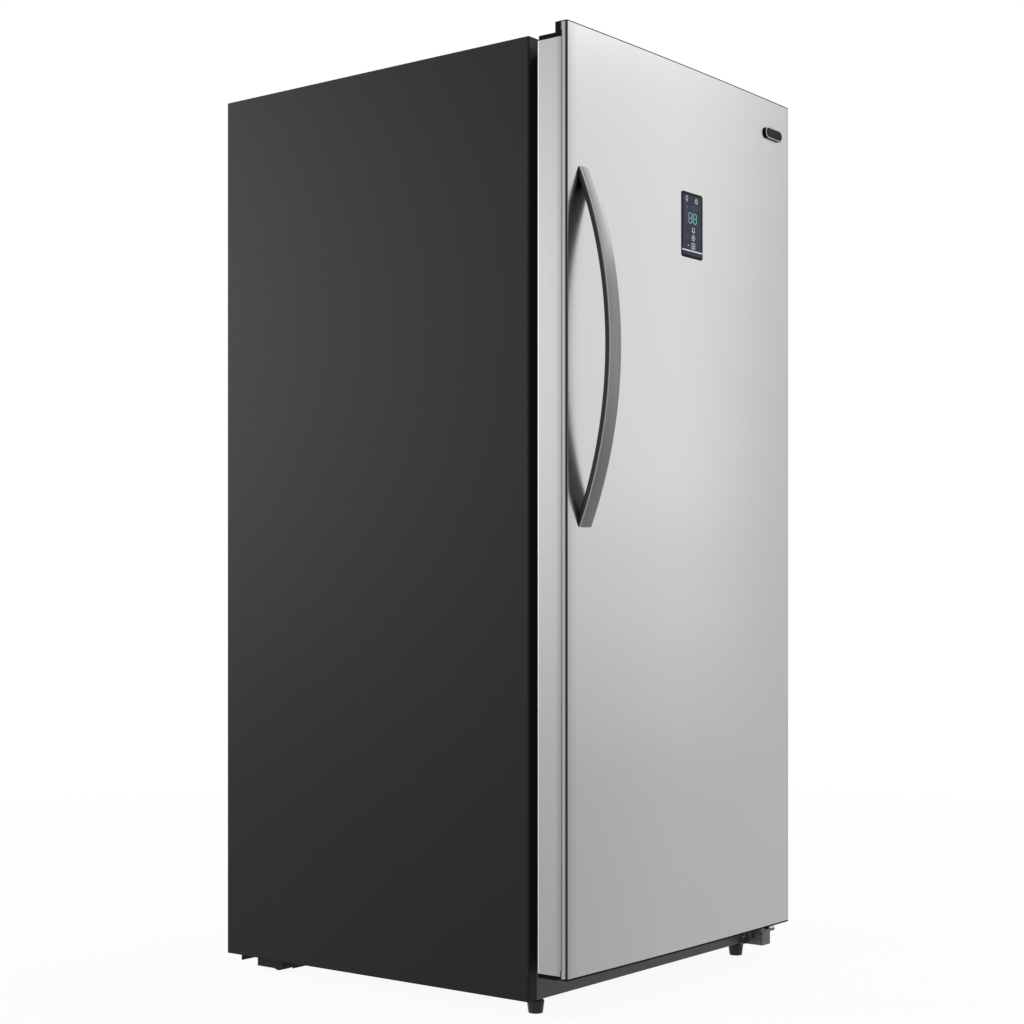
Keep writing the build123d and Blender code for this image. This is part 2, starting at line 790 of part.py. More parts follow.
with BuildPart() as evaporator_cover:
    block((-cover_half, cover_half), (cover_front, cavity_back), (cover_low, cover_high))
    fillet(evaporator_cover.edges().filter_by(Axis.Y).group_by(Axis.Z)[-1], liner_radius)
    offset(amount=-cover_wall, openings=evaporator_cover.faces().sort_by(Axis.Y)[-1])
    with BuildSketch(Plane.XZ.offset(-cover_front + 1)):
        # slots in front of the fan, rows of return slots at the foot, one pair over each shelf
        with Locations((0, evap_fan_level)):
            with GridLocations(0, vent_pitch, 1, supply_vent_rows):
                Rectangle(1.7 * evap_fan_radius, vent_height)
        with Locations((0, coil_level - return_vent_drop)):
            with GridLocations(1.15 * vent_width, vent_pitch, 3, return_vent_rows):
                Rectangle(vent_width, vent_height)
        for level in shelf_levels[1:]:
            with Locations((0, base + level - shelf_vent_drop)):
                with GridLocations(2.4 * vent_width, 0, 2, 1):
                    Rectangle(vent_width / 2, vent_height * 2)
    extrude(amount=-3 * cover_wall, mode=Mode.SUBTRACT)
save(evaporator_cover.part, "evaporator_cover")

with BuildPart() as evaporator_coil:
    coil_y = cavity_back - coil_depth / 2
    add(finned_coil((0, coil_y, coil_level), 0, coil_length, coil_rows, coil_pitch, coil_fins, coil_depth))
    # sheathed defrost heater clipped under the fins
    heater_z = coil_level - coil_pitch / 2 - heater_radius
    prism(heater_radius, pipe_sides, Plane((-coil_length / 2, coil_y, heater_z), z_dir=(1, 0, 0)),
          coil_length)
save(evaporator_coil.part, "evaporator_coil")

spider = fan_wall + evap_fan_depth + 2 * fan_play
with BuildPart() as evaporator_fan_motor:
    # a ring and three arms on the cover's back carry the motor
    ring = evap_fan_radius + fan_play
    with BuildSketch(Plane.XZ.offset(-fan_wall)):
        with Locations((0, evap_fan_level)):
            polygon(ring + fan_frame_wall, ring_sides)
            polygon(ring, ring_sides, Mode.SUBTRACT)
    extrude(amount=-(evap_fan_depth + 3 * fan_play))
    with BuildSketch(Plane.XZ.offset(-spider)):
        with Locations((0, evap_fan_level)):
            with PolarLocations(0, 3, 90):
                with Locations((ring / 2, 0)):
                    Rectangle(ring + fan_frame_wall, fan_spoke)
            polygon(motor_radius, motor_sides)
    extrude(amount=-fan_play)
    prism(motor_radius, motor_sides, Plane((0, spider, evap_fan_level), z_dir=(0, 1, 0)),
          cavity_back - spider - side_play)
    shaft_tip = fan_wall + fan_play + (1 - bore_share) * evap_fan_depth
    rod(shaft_radius, Plane((0, shaft_tip, evap_fan_level), z_dir=(0, 1, 0)), evap_fan_depth)
save(evaporator_fan_motor.part, "evaporator_fan_motor")

with BuildPart() as evaporator_fan:
    hub_back = fan_wall + fan_play + evap_fan_depth
    add(fan_rotor(evap_fan_radius, evap_fan_depth,
                  Plane((0, hub_back, evap_fan_level), x_dir=(1, 0, 0), z_dir=(0, -1, 0))))
save(evaporator_fan.part, "evaporator_fan")

with BuildPart() as light_lens:
    lamp_y = front + basket_front
    block((-lamp_length / 2, lamp_length / 2), (lamp_y, lamp_y + lamp_depth),
          (cavity_top - lamp_height, cavity_top))
    chamfer(light_lens.edges().group_by(Axis.Z)[0], lamp_height / 3)
save(light_lens.part, "light_lens")

# ---------------------------------------------------------------- shelves and basket
shelf_y = (front + shelf_front, cover_front - shelf_gap_back)
for number, level in enumerate(shelf_levels, start=1):
    z = base + level
    glass = (z + (trim_height - shelf_glass) / 2, z + (trim_height + shelf_glass) / 2)
    inner_x = shelf_half - trim_side
    pane_x = (-inner_x - trim_grip, inner_x + trim_grip)
    pane_y = (shelf_y[0] + trim_depth - trim_grip, shelf_y[1] - trim_side + trim_grip)
    with BuildPart() as shelf_glass_pane:
        block(pane_x, pane_y, glass)
    save(shelf_glass_pane.part, f"shelf_glass_{number}")
    with BuildPart() as shelf_trim:
        block((-shelf_half, shelf_half), shelf_y, (z, z + trim_height))
        chamfer(shelf_trim.edges().filter_by(Axis.Z), trim_bevel)
        block((-shelf_half, shelf_half), (shelf_y[0], shelf_y[0] + trim_depth),
              (z + trim_height - trim_front_height, z + trim_height + shelf_glass / 2))
        chamfer(shelf_trim.edges().filter_by(Axis.X).group_by(Axis.Y)[0], trim_bevel)
        block((-inner_x, inner_x), (shelf_y[0] + trim_depth, shelf_y[1] - trim_side),
              (z - trim_front_height, z + 2 * trim_height), Mode.SUBTRACT)
        block(pane_x, pane_y, glass, Mode.SUBTRACT)
    save(shelf_trim.part, f"shelf_trim_{number}")

with BuildPart() as basket:
    low = cavity_bottom + basket_lift
    high = low + basket_height
    start = front + basket_front
    with BuildSketch(Plane.YZ):
        with BuildLine():
            Polyline((start + basket_lean, low), (start + basket_depth - basket_lean, low),
                     (start + basket_depth, high), (start, high), close=True)
        make_face()
    extrude(amount=basket_width / 2, both=True)
    fillet(basket.edges().filter_by(lambda e: abs(e.tangent_at(0.5).Z) > 0.5), basket_radius)
    offset(amount=-basket_wall, openings=basket.faces().sort_by(Axis.Z)[-1])
    rim = basket_width / 2 + basket_rim
    rim_z = (runner_top + runner_play, runner_top + runner_play + basket_wall)
    for side in (-1, 1):
        reach = sorted((side * (basket_width / 2 - basket_wall), side * rim))
        block(reach, (start + basket_rim_set_back, start + basket_depth - basket_radius), rim_z)
    # long slots that let the cold air through its walls
    with BuildSketch(Plane.XZ.offset(-start)):
        with Locations((0, (low + high) / 2)):
            with GridLocations(basket_slot_pitch, 0, basket_slots, 1):
                Rectangle(basket_slot_width, basket_height * 0.6)
    extrude(amount=-2 * basket_depth, mode=Mode.SUBTRACT)
save(basket.part, "basket")

# ---------------------------------------------------------------- door shell
lip_front = door_front + skin_lip
lip_back = lip_front + cap_lip
skirt_low = base + side_top - cap_skirt
skirt_high = base + side_bottom + cap_skirt


def door_outline(inset, rear):
    # plan of the door with its bowed front, drawn in by inset, closed at rear
    edge_y = door_front + bow_at(half) + inset
    with BuildSketch() as plan:
        with BuildLine():
            ThreePointArc((-half + inset, edge_y), (0, door_front - door_bow + inset), (half - inset, edge_y))
            Polyline((half - inset, edge_y), (half - inset, rear), (-half + inset, rear),
                     (-half + inset, edge_y))
        make_face()
        fillet(plan.vertices().group_by(Axis.Y)[0], door_edge_radius - inset)
    return plan.sketch


def door_prism(inset, rear, low, high, mode=Mode.ADD):
    # the door's outline carried from one height to another
    with BuildPart(mode=Mode.PRIVATE) as bulk:
        with BuildSketch(Plane.XY.offset(low)):
            add(door_outline(inset, rear))
        extrude(amount=high - low)
    add(bulk.part, mode=mode)


display_face = door_front - bow_at(display_centre + display_width / 2) - display_proud
display_back = display_face + display_glass_thickness
box_back = display_back + display_box_depth


def display_pane(grow, near, far, mode=Mode.ADD):
    # the display's rounded outline, from one depth to another
    with BuildPart(mode=Mode.PRIVATE) as pane:
        with BuildSketch(Plane.XZ.offset(-near)):
            with Locations((display_centre, (display_low + display_high) / 2)):
                RectangleRounded(display_width + 2 * grow, display_height + 2 * grow, display_radius + grow)
        extrude(amount=near - far)
    add(pane.part, mode=mode)


def display_box(inset, near, far, mode=Mode.ADD):
    # the square space behind it, drawn in by inset
    across = display_width / 2 - inset
    block((display_centre - across, display_centre + across), (near, far),
          (display_low + inset, display_high - inset), mode)


studs_at = [handle_low + stud_from_end, handle_high - stud_from_end]
stud_tip = door_front + stud_depth
handle_foot = door_front - bow_at(-half + handle_inset) - handle_end
grub_y = handle_foot - stud_engage + grub_radius


def stud_holes(radius):
    # from behind the stud's head to its end inside the handle
    for z in studs_at:
        prism(radius, stud_sides, Plane((handle_x, stud_tip + stud_head_height, z), z_dir=(0, -1, 0)),
              stud_tip + stud_head_height - handle_foot + stud_engage, Mode.SUBTRACT)


with BuildPart() as door_skin:
    skin = (base + skin_bottom, base + skin_top)
    door_prism(0, lip_front, *skin)
    door_prism(sheet, lip_front + sheet, skin[0] + sheet, skin[1] - sheet, Mode.SUBTRACT)
    for side in (-1, 1):
        wrap = sorted((side * inner_skin, side * (half + sheet)))
        block(wrap, (door_front + skin_wrap, lip_front + sheet), (skin[0] + skin_lip, skin[1] - skin_lip),
              Mode.SUBTRACT)
    display_pane(pin_play, display_face - sheet, box_back, Mode.SUBTRACT)
    stud_holes(stud_radius + pin_play)
save(door_skin.part, "door_skin")

side_start = door_front + skin_wrap + skin_groove
with BuildPart() as door_side_left:
    with BuildSketch(Plane.XY.offset(base + side_bottom)):
        with BuildLine():
            Polyline((-half, side_start), (-half, door_back), (-half + side_return, door_back))
            offset(amount=sheet, side=Side.RIGHT, closed=True)
        make_face()
    extrude(amount=side_top - side_bottom)
    door_prism(0, lip_front, base, base + skin_bottom + skin_lip, Mode.SUBTRACT)
    door_prism(0, lip_front, base + skin_top - skin_lip, top, Mode.SUBTRACT)
save(door_side_left.part, "door_side_left")

with BuildPart() as door_side_right:
    add(mirror(door_side_left.part, Plane.YZ, mode=Mode.PRIVATE))
save(door_side_right.part, "door_side_right")

liner_face = door_back - liner_wall
rim_step = cap_top_rim - skin_top

with BuildPart() as door_top_cap:
    door_prism(0, door_back, base + side_top, base + cap_top_rim)
    door_prism(sheet, liner_face, skirt_low, base + side_top)
    with BuildSketch(Plane.YZ):
        with BuildLine():
            far = door_front - 2 * door_bow
            Polyline((door_back, skirt_low), (door_back, base + cap_top_rear),
                     (lip_back, base + cap_top_rear), (lip_back, base + cap_top_rim),
                     (far, base + cap_top_rim), (far, base + skin_top), (lip_front, base + skin_top),
                     (lip_front, skirt_low), close=True)
        make_face()
    extrude(amount=half, both=True, mode=Mode.INTERSECT)
    fillet(door_top_cap.edges().filter_by(Axis.Z).group_by(Axis.Y)[-1], door_edge_radius)
    # pocket that lets the lip swing round the upper hinge
    block((pin_x - 2 * pin_inset, half + sheet), (lip_front + sheet, lip_back + sheet),
          (base + cap_top_rear, base + skin_top - sheet), Mode.SUBTRACT)
    prism(bush_radius, bush_sides, Plane((pin_x, pin_y, base + cap_top_rear), z_dir=(0, 0, -1)), pin_reach,
          Mode.SUBTRACT)
save(door_top_cap.part, "door_top_cap")

with BuildPart() as door_bottom_cap:
    door_prism(0, door_back, base + cap_bottom, base + side_bottom)
    door_prism(sheet, liner_face, base + side_bottom, skirt_high)
    with BuildSketch(Plane.YZ):
        with BuildLine():
            under = base + skin_bottom
            Polyline((door_back, skirt_high), (door_back, base + cap_bottom), (lip_back, base + cap_bottom),
                     (lip_front, under - rim_step), (far, under - rim_step), (far, under),
                     (lip_front, under), (lip_front, skirt_high), close=True)
        make_face()
    extrude(amount=half, both=True, mode=Mode.INTERSECT)
    prism(bush_radius, bush_sides, Plane((pin_x, pin_y, base + cap_bottom)), pin_reach, Mode.SUBTRACT)
save(door_bottom_cap.part, "door_bottom_cap")

with BuildPart() as hinge_bushes:
    for level, up in ((base + cap_top_rear, -1), (base + cap_bottom, 1)):
        prism(bush_radius - pin_play, bush_sides, Plane((pin_x, pin_y, level), z_dir=(0, 0, up)),
              pin_reach - side_play)
        prism(bush_flange, flange_sides, Plane((pin_x, pin_y, level), z_dir=(0, 0, -up)), bush_flange_height)
    rod(pin_radius + pin_play, Plane((pin_x, pin_y, base)), cabinet_height, Mode.SUBTRACT)
save(hinge_bushes.part, "hinge_bushes")

# ---------------------------------------------------------------- door liner, foam, gasket
dyke_half = cavity_half - dyke_clearance
dyke_low = cavity_bottom + dyke_clearance
dyke_high = cavity_top - dyke_clearance
dyke_top = front + dyke_depth
bin_half = dyke_half - dyke_width - bin_play
lug_y = (door_back, door_back + lug_depth)


def dyke(inset):
    # raised frame round the inside of the door, drawn in by inset on every face
    width = 2 * dyke_half
    height = dyke_high - dyke_low
    with BuildPart() as ridge:
        with BuildSketch(Plane.XZ.offset(-(dyke_top - inset))):
            with Locations((0, (dyke_high + dyke_low) / 2)):
                Rectangle(width - 2 * inset, height - 2 * inset)
                Rectangle(width - 2 * (dyke_width - inset), height - 2 * (dyke_width - inset),
                          mode=Mode.SUBTRACT)
        extrude(amount=dyke_top - inset - liner_face)
        corners = ridge.edges().filter_by(Axis.Y).group_by(lambda e: round(abs(e.center().X)))
        if inset:
            # the hidden inner form has plain bevels
            chamfer(corners[-1], dyke_radius - inset)
        else:
            fillet(corners[-1], dyke_radius)
            chamfer(corners[0], dyke_radius / 2)
            chamfer(ridge.edges().group_by(Axis.Y)[-1], dyke_bevel)
    return ridge.part


with BuildPart() as door_liner:
    block((-half + side_return, half - side_return), (liner_face, door_back),
          (base + side_bottom, base + side_top))
    add(dyke(0))
    add(dyke(liner_wall), mode=Mode.SUBTRACT)
    for level in bin_levels:
        for side in (-1, 1):
            lug = sorted((side * (bin_half - lug_reach), side * (bin_half + bin_play)))
            block(lug, lug_y, (base + level - lug_height, base + level))
save(door_liner.part, "door_liner")

with BuildPart() as door_foam:
    door_prism(sheet, liner_face, base + side_bottom + sheet, base + skin_top - sheet)
    # room for the two caps
    block((-half, half), (lip_front, door_back), (skirt_low, base + cap_top_rim), Mode.SUBTRACT)
    block((-half, half), (lip_front, door_back), (base, skirt_high), Mode.SUBTRACT)
    add(dyke(liner_wall))
    display_box(0, display_face - sheet, box_back, Mode.SUBTRACT)
    stud_holes(stud_head)
save(door_foam.part, "door_foam")

gasket_half = half - gasket_inset
gasket_low = base + skin_bottom + gasket_inset
gasket_high = base + cap_top_rear - gasket_inset

with BuildPart() as door_gasket:
    # foot on the door, narrow bellows, then the magnet's broad face on the cabinet
    middle = (gasket_low + gasket_high) / 2
    tall = gasket_high - gasket_low
    foot_far = door_back + gasket_foot
    magnet_near = front - gasket_foot
    for near, far, inset in ((door_back, foot_far, 0), (foot_far, magnet_near, gasket_neck),
                             (magnet_near, front, 0)):
        with BuildSketch(Plane.XZ.offset(-near)):
            with Locations((0, middle)):
                Rectangle(2 * (gasket_half - inset), tall - 2 * inset)
                Rectangle(2 * (gasket_half - gasket_width + inset), tall - 2 * (gasket_width - inset),
                          mode=Mode.SUBTRACT)
        extrude(amount=near - far)
save(door_gasket.part, "door_gasket")

for number, level in enumerate(bin_levels, start=1):
    z = base + level
    with BuildPart() as door_bin:
        with BuildSketch(Plane.YZ):
            with BuildLine():
                Polyline((door_back, z), (door_back + bin_depth - bin_lean, z),
                         (door_back + bin_depth, z + bin_height), (door_back, z + bin_height), close=True)
            make_face()
        extrude(amount=bin_half, both=True)
        upright = door_bin.edges().filter_by(lambda e: abs(e.tangent_at(0.5).Z) > 0.5)
        fillet(upright.group_by(Axis.Y)[-1], bin_radius)
        offset(amount=-bin_wall, openings=door_bin.faces().sort_by(Axis.Z)[-1])
    save(door_bin.part, f"door_bin_{number}")

# ---------------------------------------------------------------- handle
handle_middle = (handle_low + handle_high) / 2
bow_radius = ((handle_length / 2) ** 2 + handle_sagitta**2) / (2 * handle_sagitta)
bow_centre = handle_foot - handle_sagitta + bow_radius

with BuildPart() as handle_bar:
    with BuildSketch(Plane.YZ.offset(handle_x - handle_width / 2)):
        with BuildLine():
            ThreePointArc((handle_foot, handle_low), (handle_foot - handle_sagitta, handle_middle),
                          (handle_foot, handle_high))
            Polyline((handle_foot, handle_high), (door_front + sheet, handle_high),
                     (door_front + sheet, handle_low), (handle_foot, handle_low))
        make_face()
        with Locations((bow_centre, handle_middle)):
            Circle(bow_radius - handle_thickness, mode=Mode.SUBTRACT)
    extrude(amount=handle_width)
    # the two long edges of its outer face are broken
    outer_face = handle_bar.faces().filter_by(GeomType.CYLINDER).sort_by(Axis.Y)[0]
    chamfer(outer_face.edges().filter_by(GeomType.CIRCLE), handle_edge)
    door_prism(0, door_back, handle_low - 1, handle_high + 1, Mode.SUBTRACT)
    stud_holes(stud_radius + pin_play)
    for z in studs_at:
        prism(grub_radius, screw_sides,
              Plane((handle_x - handle_width / 2, grub_y, z), z_dir=(1, 0, 0)),
              handle_width / 2, Mode.SUBTRACT)
save(handle_bar.part, "handle_bar")

with BuildPart() as handle_mounts:
    for z in studs_at:
        prism(stud_head, stud_sides, Plane((handle_x, stud_tip + stud_head_height, z), z_dir=(0, -1, 0)),
              stud_head_height)
        prism(stud_radius, stud_sides, Plane((handle_x, stud_tip, z), z_dir=(0, -1, 0)),
              stud_tip - handle_foot + stud_engage - pin_play)
        grub_start = (handle_x - handle_width / 2 + grub_set_in, grub_y, z)
        prism(grub_radius - pin_play, screw_sides, Plane(grub_start, z_dir=(1, 0, 0)),
              handle_width / 2 - stud_radius - grub_set_in)
save(handle_mounts.part, "handle_mounts")

# ---------------------------------------------------------------- display and badge
with BuildPart() as display_glass:
    display_pane(0, display_face, display_back)
    chamfer(display_glass.edges().group_by(Axis.Y)[0], display_proud)
save(display_glass.part, "display_glass")

with BuildPart() as display_housing:
    display_box(0, display_back, box_back)
    display_box(liner_wall, display_back, box_back - liner_wall, Mode.SUBTRACT)
    # circuit board across the tray
    board = display_back + display_box_depth / 2
    display_box(liner_wall, board, board + board_thickness)
save(display_housing.part, "display_housing")

badge_low = base + cabinet_height - badge_drop
badge_high = badge_low + badge_height
with BuildPart() as badge_plate:
    with BuildSketch(Plane.XZ.offset(-(door_front + sheet))):
        with Locations((half - badge_inset, (badge_low + badge_high) / 2)):
            SlotOverall(badge_width, badge_height)
    extrude(amount=door_bow + 2 * badge_proud)
    door_prism(-badge_proud, door_back, badge_low - sheet, badge_high + sheet, Mode.INTERSECT)
    door_prism(0, door_back, badge_low - sheet, badge_high + sheet, Mode.SUBTRACT)
save(badge_plate.part, "badge_plate")

# ---------------------------------------------------------------- hinges
leaf_low = base + leaf_level
leaf_high = leaf_low + leaf_thickness
plate_high = base + cap_bottom

with BuildPart() as bottom_hinge_bracket:
    plate_y = front - bracket_sheet
    block((bracket_left, bracket_right), (plate_y, front), (base - bracket_drop, plate_high))
    block((bracket_left, bracket_right), (front - leaf_reach, front), (leaf_low, leaf_high))
    chamfer(bottom_hinge_bracket.edges().filter_by(Axis.Z).group_by(Axis.Y)[0], 2 * pin_radius)
    # gusset and front return under the leaf
    block((gusset_x, gusset_x + bracket_sheet), (front - gusset_reach, front),
          (base - bracket_drop, leaf_low))
    block((gusset_x, bracket_right), (front - gusset_reach, front - gusset_reach + bracket_sheet),
          (base - bracket_drop, leaf_low))
    rod(gusset_hole, Plane((gusset_x, front - gusset_reach / 2, base + leaf_level / 2), z_dir=(1, 0, 0)),
        bracket_sheet, Mode.SUBTRACT)
    rod(pin_radius, Plane((pin_x, pin_y, base)), cabinet_height, Mode.SUBTRACT)
    screw_holes()
save(bottom_hinge_bracket.part, "bottom_hinge_bracket")

with BuildPart() as bottom_hinge_pin:
    rod(pin_radius, Plane((pin_x, pin_y, leaf_low)), cap_bottom - leaf_level + pin_reach - pin_end)
    prism(bush_flange, bush_sides, Plane((pin_x, pin_y, leaf_high)),
          cap_bottom - leaf_level - leaf_thickness - bush_flange_height)
save(bottom_hinge_pin.part, "bottom_hinge_pin")

with BuildPart() as top_hinge:
    with BuildSketch(Plane.XY.offset(top)):
        # arm out to the pin, then the broad end under the screws
        with Locations((pin_x, pin_y)):
            Circle(top_nose)
        with Locations((leaf_right - 2 * top_nose, leaf_y[0] + top_nose)):
            Rectangle(4 * top_nose, 2 * top_nose)
        make_hull()
        with Locations(((leaf_left + leaf_right) / 2, (leaf_y[0] + leaf_y[1]) / 2)):
            Rectangle(leaf_right - leaf_left, top_leaf_back)
    extrude(amount=top_leaf)
    rod(pin_radius, Plane((pin_x, pin_y, top), z_dir=(0, 0, -1)), cap_under + pin_reach - pin_end)
    screw_holes()
save(top_hinge.part, "top_hinge")

cover_top = base + cap_top_rim
with BuildPart() as top_hinge_cover:
    shell_x = (leaf_left - hinge_cover_edge, pin_x - screw_inset)
    shell_y = (front + sheet, leaf_y[1] + screw_inset)
    block(shell_x, shell_y, (top, cover_top))
    chamfer(top_hinge_cover.edges().filter_by(Axis.Z), hinge_cover_bevel)
    chamfer(top_hinge_cover.edges().group_by(Axis.Z)[-1], hinge_cover_bevel / 2)
    block((shell_x[0] + cap_wall, shell_x[1] - cap_wall), (shell_y[0] + cap_wall, shell_y[1] - cap_wall),
          (top, cover_top - cap_wall), Mode.SUBTRACT)
    # mouth for the leaf
    block((leaf_left, pin_x), (front, leaf_y[1] - top_leaf_back / 2), (top, top + top_leaf + side_play),
          Mode.SUBTRACT)
save(top_hinge_cover.part, "top_hinge_cover")


def hex_screw(plane):
    # hexagon head on the plane, shank behind it
    prism(screw_head, screw_sides, plane, screw_head_height)
    prism(screw_shank, screw_sides, Plane(plane.origin, z_dir=-plane.z_dir), screw_length)


with BuildPart() as hinge_screws:
    for x, y in top_screws:
        with BuildPart(mode=Mode.PRIVATE) as screw:
            hex_screw(Plane((x, y, top + top_leaf)))
        add(screw.part)
    for x, z in low_screws:
        with BuildPart(mode=Mode.PRIVATE) as screw:
            hex_screw(Plane((x, front - bracket_sheet, z), z_dir=(0, -1, 0)))
        add(screw.part)
save(hinge_screws.part, "hinge_screws")
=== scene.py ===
import json
import math

import bpy
import numpy as np
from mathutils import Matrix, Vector


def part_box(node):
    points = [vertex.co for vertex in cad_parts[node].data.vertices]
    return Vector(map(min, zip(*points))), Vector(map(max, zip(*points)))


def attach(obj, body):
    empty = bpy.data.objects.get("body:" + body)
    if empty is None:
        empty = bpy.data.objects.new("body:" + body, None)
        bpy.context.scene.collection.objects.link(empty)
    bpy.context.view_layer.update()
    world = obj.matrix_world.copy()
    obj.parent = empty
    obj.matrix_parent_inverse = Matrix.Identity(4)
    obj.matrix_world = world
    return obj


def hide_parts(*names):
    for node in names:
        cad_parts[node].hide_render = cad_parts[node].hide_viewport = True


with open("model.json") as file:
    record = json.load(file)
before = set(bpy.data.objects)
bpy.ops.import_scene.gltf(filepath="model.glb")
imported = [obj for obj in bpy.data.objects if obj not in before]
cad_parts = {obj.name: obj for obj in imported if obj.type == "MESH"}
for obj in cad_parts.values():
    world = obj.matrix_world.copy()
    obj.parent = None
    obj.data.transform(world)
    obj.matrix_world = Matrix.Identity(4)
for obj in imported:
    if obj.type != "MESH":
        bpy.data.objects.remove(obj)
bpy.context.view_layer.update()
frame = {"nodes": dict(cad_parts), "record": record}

print("frame loaded:", len(frame["nodes"]), "nodes")

# camera: where the photograph was taken from, in metres
camera = {
    "place": (-2.7659, -2.0789, 0.6715),
    "turn": -51.72,         # degrees from straight back towards the hinge side
    "lens": 67.2,
    "sensor": 36.0,
    "shift": (0.03125, 0.0785),
    "farthest": 60.0,
}
lensData = bpy.data.cameras.new("photoCamera")
lensData.lens = camera["lens"]
lensData.sensor_width = camera["sensor"]
lensData.shift_x, lensData.shift_y = camera["shift"]
lensData.clip_end = camera["farthest"]
photoCamera = bpy.data.objects.new("photoCamera", lensData)
photoCamera.location = camera["place"]
photoCamera.rotation_euler = (math.radians(90), 0, math.radians(camera["turn"]))
bpy.context.scene.collection.objects.link(photoCamera)
bpy.context.scene.camera = photoCamera
bpy.context.scene.view_settings.view_transform = "Standard"
print("camera set")


# shader maths
class Value:
    # one socket; each operator adds a Math node that reads it
    def __init__(self, graph, socket):
        self.graph, self.socket = graph, socket

    def math(self, operation, *terms, clamp=False):
        return self.graph.add("ShaderNodeMath", {"operation": operation, "use_clamp": clamp}, dict(enumerate(terms)))

    def __add__(self, other):
        return self.math("ADD", self, other)

    def __sub__(self, other):
        return self.math("SUBTRACT", self, other)

    def __rsub__(self, other):
        return self.math("SUBTRACT", other, self)

    def __mul__(self, other):
        return self.math("MULTIPLY", self, other)

    __radd__ = __add__
    __rmul__ = __mul__

    def power(self, exponent):
        return self.math("POWER", self, exponent)

    def clamped(self):
        # kept between 0 and 1
        return self.math("ADD", self, 0.0, clamp=True)

    def larger(self, other):
        return self.math("MAXIMUM", self, other)

    def size(self):
        # without its sign
        return self.math("ABSOLUTE", self)

    def swing(self, reach, middle=0.5):
        # how far noise is from its middle, times reach
        return (self - middle) * reach


class Graph:
    # the nodes of a new material, or of the owner that is given; every node comes from add()
    def __init__(self, name, owner=None):
        self.owner = owner or bpy.data.materials.new(name)
        self.owner.use_nodes = True
        self.tree = self.owner.node_tree
        self.tree.nodes.clear()

    def add(self, kind, settings=None, inputs=None, output=0):
        # the node's settings are set first, and then its sockets get values or links
        node = self.tree.nodes.new(kind)
        for key, value in (settings or {}).items():
            setattr(node, key, value)
        for key, value in (inputs or {}).items():
            socket = node.inputs[key]
            if isinstance(value, Value):
                self.tree.links.new(value.socket, socket)
            else:
                socket.default_value = (*value, 1) if socket.type == "RGBA" and len(value) == 3 else value
        return Value(self, node.outputs[output]) if node.outputs else None

    def place(self, stretch=(1, 1, 1)):
        # object coordinates in metres, each axis multiplied by its stretch
        coords = self.add("ShaderNodeTexCoord", output="Object")
        return self.add("ShaderNodeMapping", inputs={"Vector": coords, "Scale": stretch})

    def metres(self, axis):
        # place along one axis of the object at rest: 0 across, 1 back, 2 up
        coords = self.add("ShaderNodeTexCoord", output="Object")
        return self.add("ShaderNodeSeparateXYZ", inputs={0: coords}, output=axis)

    def noise(self, scale, detail, stretch=(1, 1, 1), roughness=0.5):
        return self.add("ShaderNodeTexNoise", inputs={
            "Vector": self.place(stretch), "Scale": scale, "Detail": detail, "Roughness": roughness})

    def cells(self, scale, feature="F1", output=0):
        return self.add("ShaderNodeTexVoronoi", {"feature": feature}, {"Vector": self.place(), "Scale": scale}, output)

    def ramp(self, value, low, high):
        # 0 below low, 1 above high
        return self.add("ShaderNodeMapRange", {"clamp": True}, {0: value, 1: low, 2: high, 3: 0.0, 4: 1.0})

    def fade(self, value, low, high):
        # 1 below low and 0 above high, and between them the square of the share of the way that is left
        return (1 - self.ramp(value, low, high)).power(2.0)

    def tint(self, mask, under, over):
        # one colour where the mask is 0 and the other where it is 1
        return self.add("ShaderNodeMix", {"data_type": "RGBA"}, {0: mask, 6: under, 7: over}, 2)

    def shades(self, mask, colour, darkest, palest):
        # the colour times darkest where the mask is 0, and times palest where it is 1
        under, over = (tuple(min(1.0, part * factor) for part in colour) for factor in (darkest, palest))
        return self.tint(mask, under, over)

    def bump(self, height, depth, strength):
        return self.add("ShaderNodeBump", inputs={"Height": height, "Distance": depth, "Strength": strength})

    def surface(self, **inputs):
        named = {key.replace("_", " "): value for key, value in inputs.items()}
        shader = self.add("ShaderNodeBsdfPrincipled", inputs=named)
        self.add("ShaderNodeOutputMaterial", inputs={"Surface": shader})
        return self.owner


# finishes: what every sheet or moulding of a finish shares stands above its function, noise as (scale, detail)
brushing = {
    "streakDetail": 3.0, "streakRoughness": 0.7, "streakShare": 0.65,
    "fineScale": 2.6, "fineDetail": 1.0, "fineShare": 0.35,
    "cloud": (3.0, 2.0), "gloss": 1.6, "cloudGloss": 0.05, "metallic": 1.0, "bump": 0.6,
}


def brushedMetal(name, look, paintedShading=None):
    # long streaks: noise squeezed across the grain and drawn out along it, in colour, roughness and a shallow bump;
    # broad cloudy noise shifts the roughness a little, as rolling does; any masks it is given lay painted shade or
    # painted highlights on the colour, each with its own tint
    graph = Graph(name)
    streaks = graph.noise(look["grain"], brushing["streakDetail"], look["along"], brushing["streakRoughness"])
    fine = graph.noise(look["grain"] * brushing["fineScale"], brushing["fineDetail"], look["along"])
    cloud = graph.noise(*brushing["cloud"])
    mix = streaks * brushing["streakShare"] + fine * brushing["fineShare"]
    colour = graph.shades(mix, look["colour"], 1 - look["contrast"], 1 + look["contrast"])
    # painted shade and painted highlights laid over the metal's own colour
    if paintedShading:
        for mask, shade in paintedShading(graph):
            colour = graph.tint(mask, colour, shade)
    rough = look["roughness"] + mix.swing(look["contrast"]) * brushing["gloss"] + cloud.swing(brushing["cloudGloss"])
    return graph.surface(Base_Color=colour, Metallic=look.get("metallic", brushing["metallic"]),
                         Roughness=rough.clamped(), Normal=graph.bump(mix, look["depth"], brushing["bump"]))


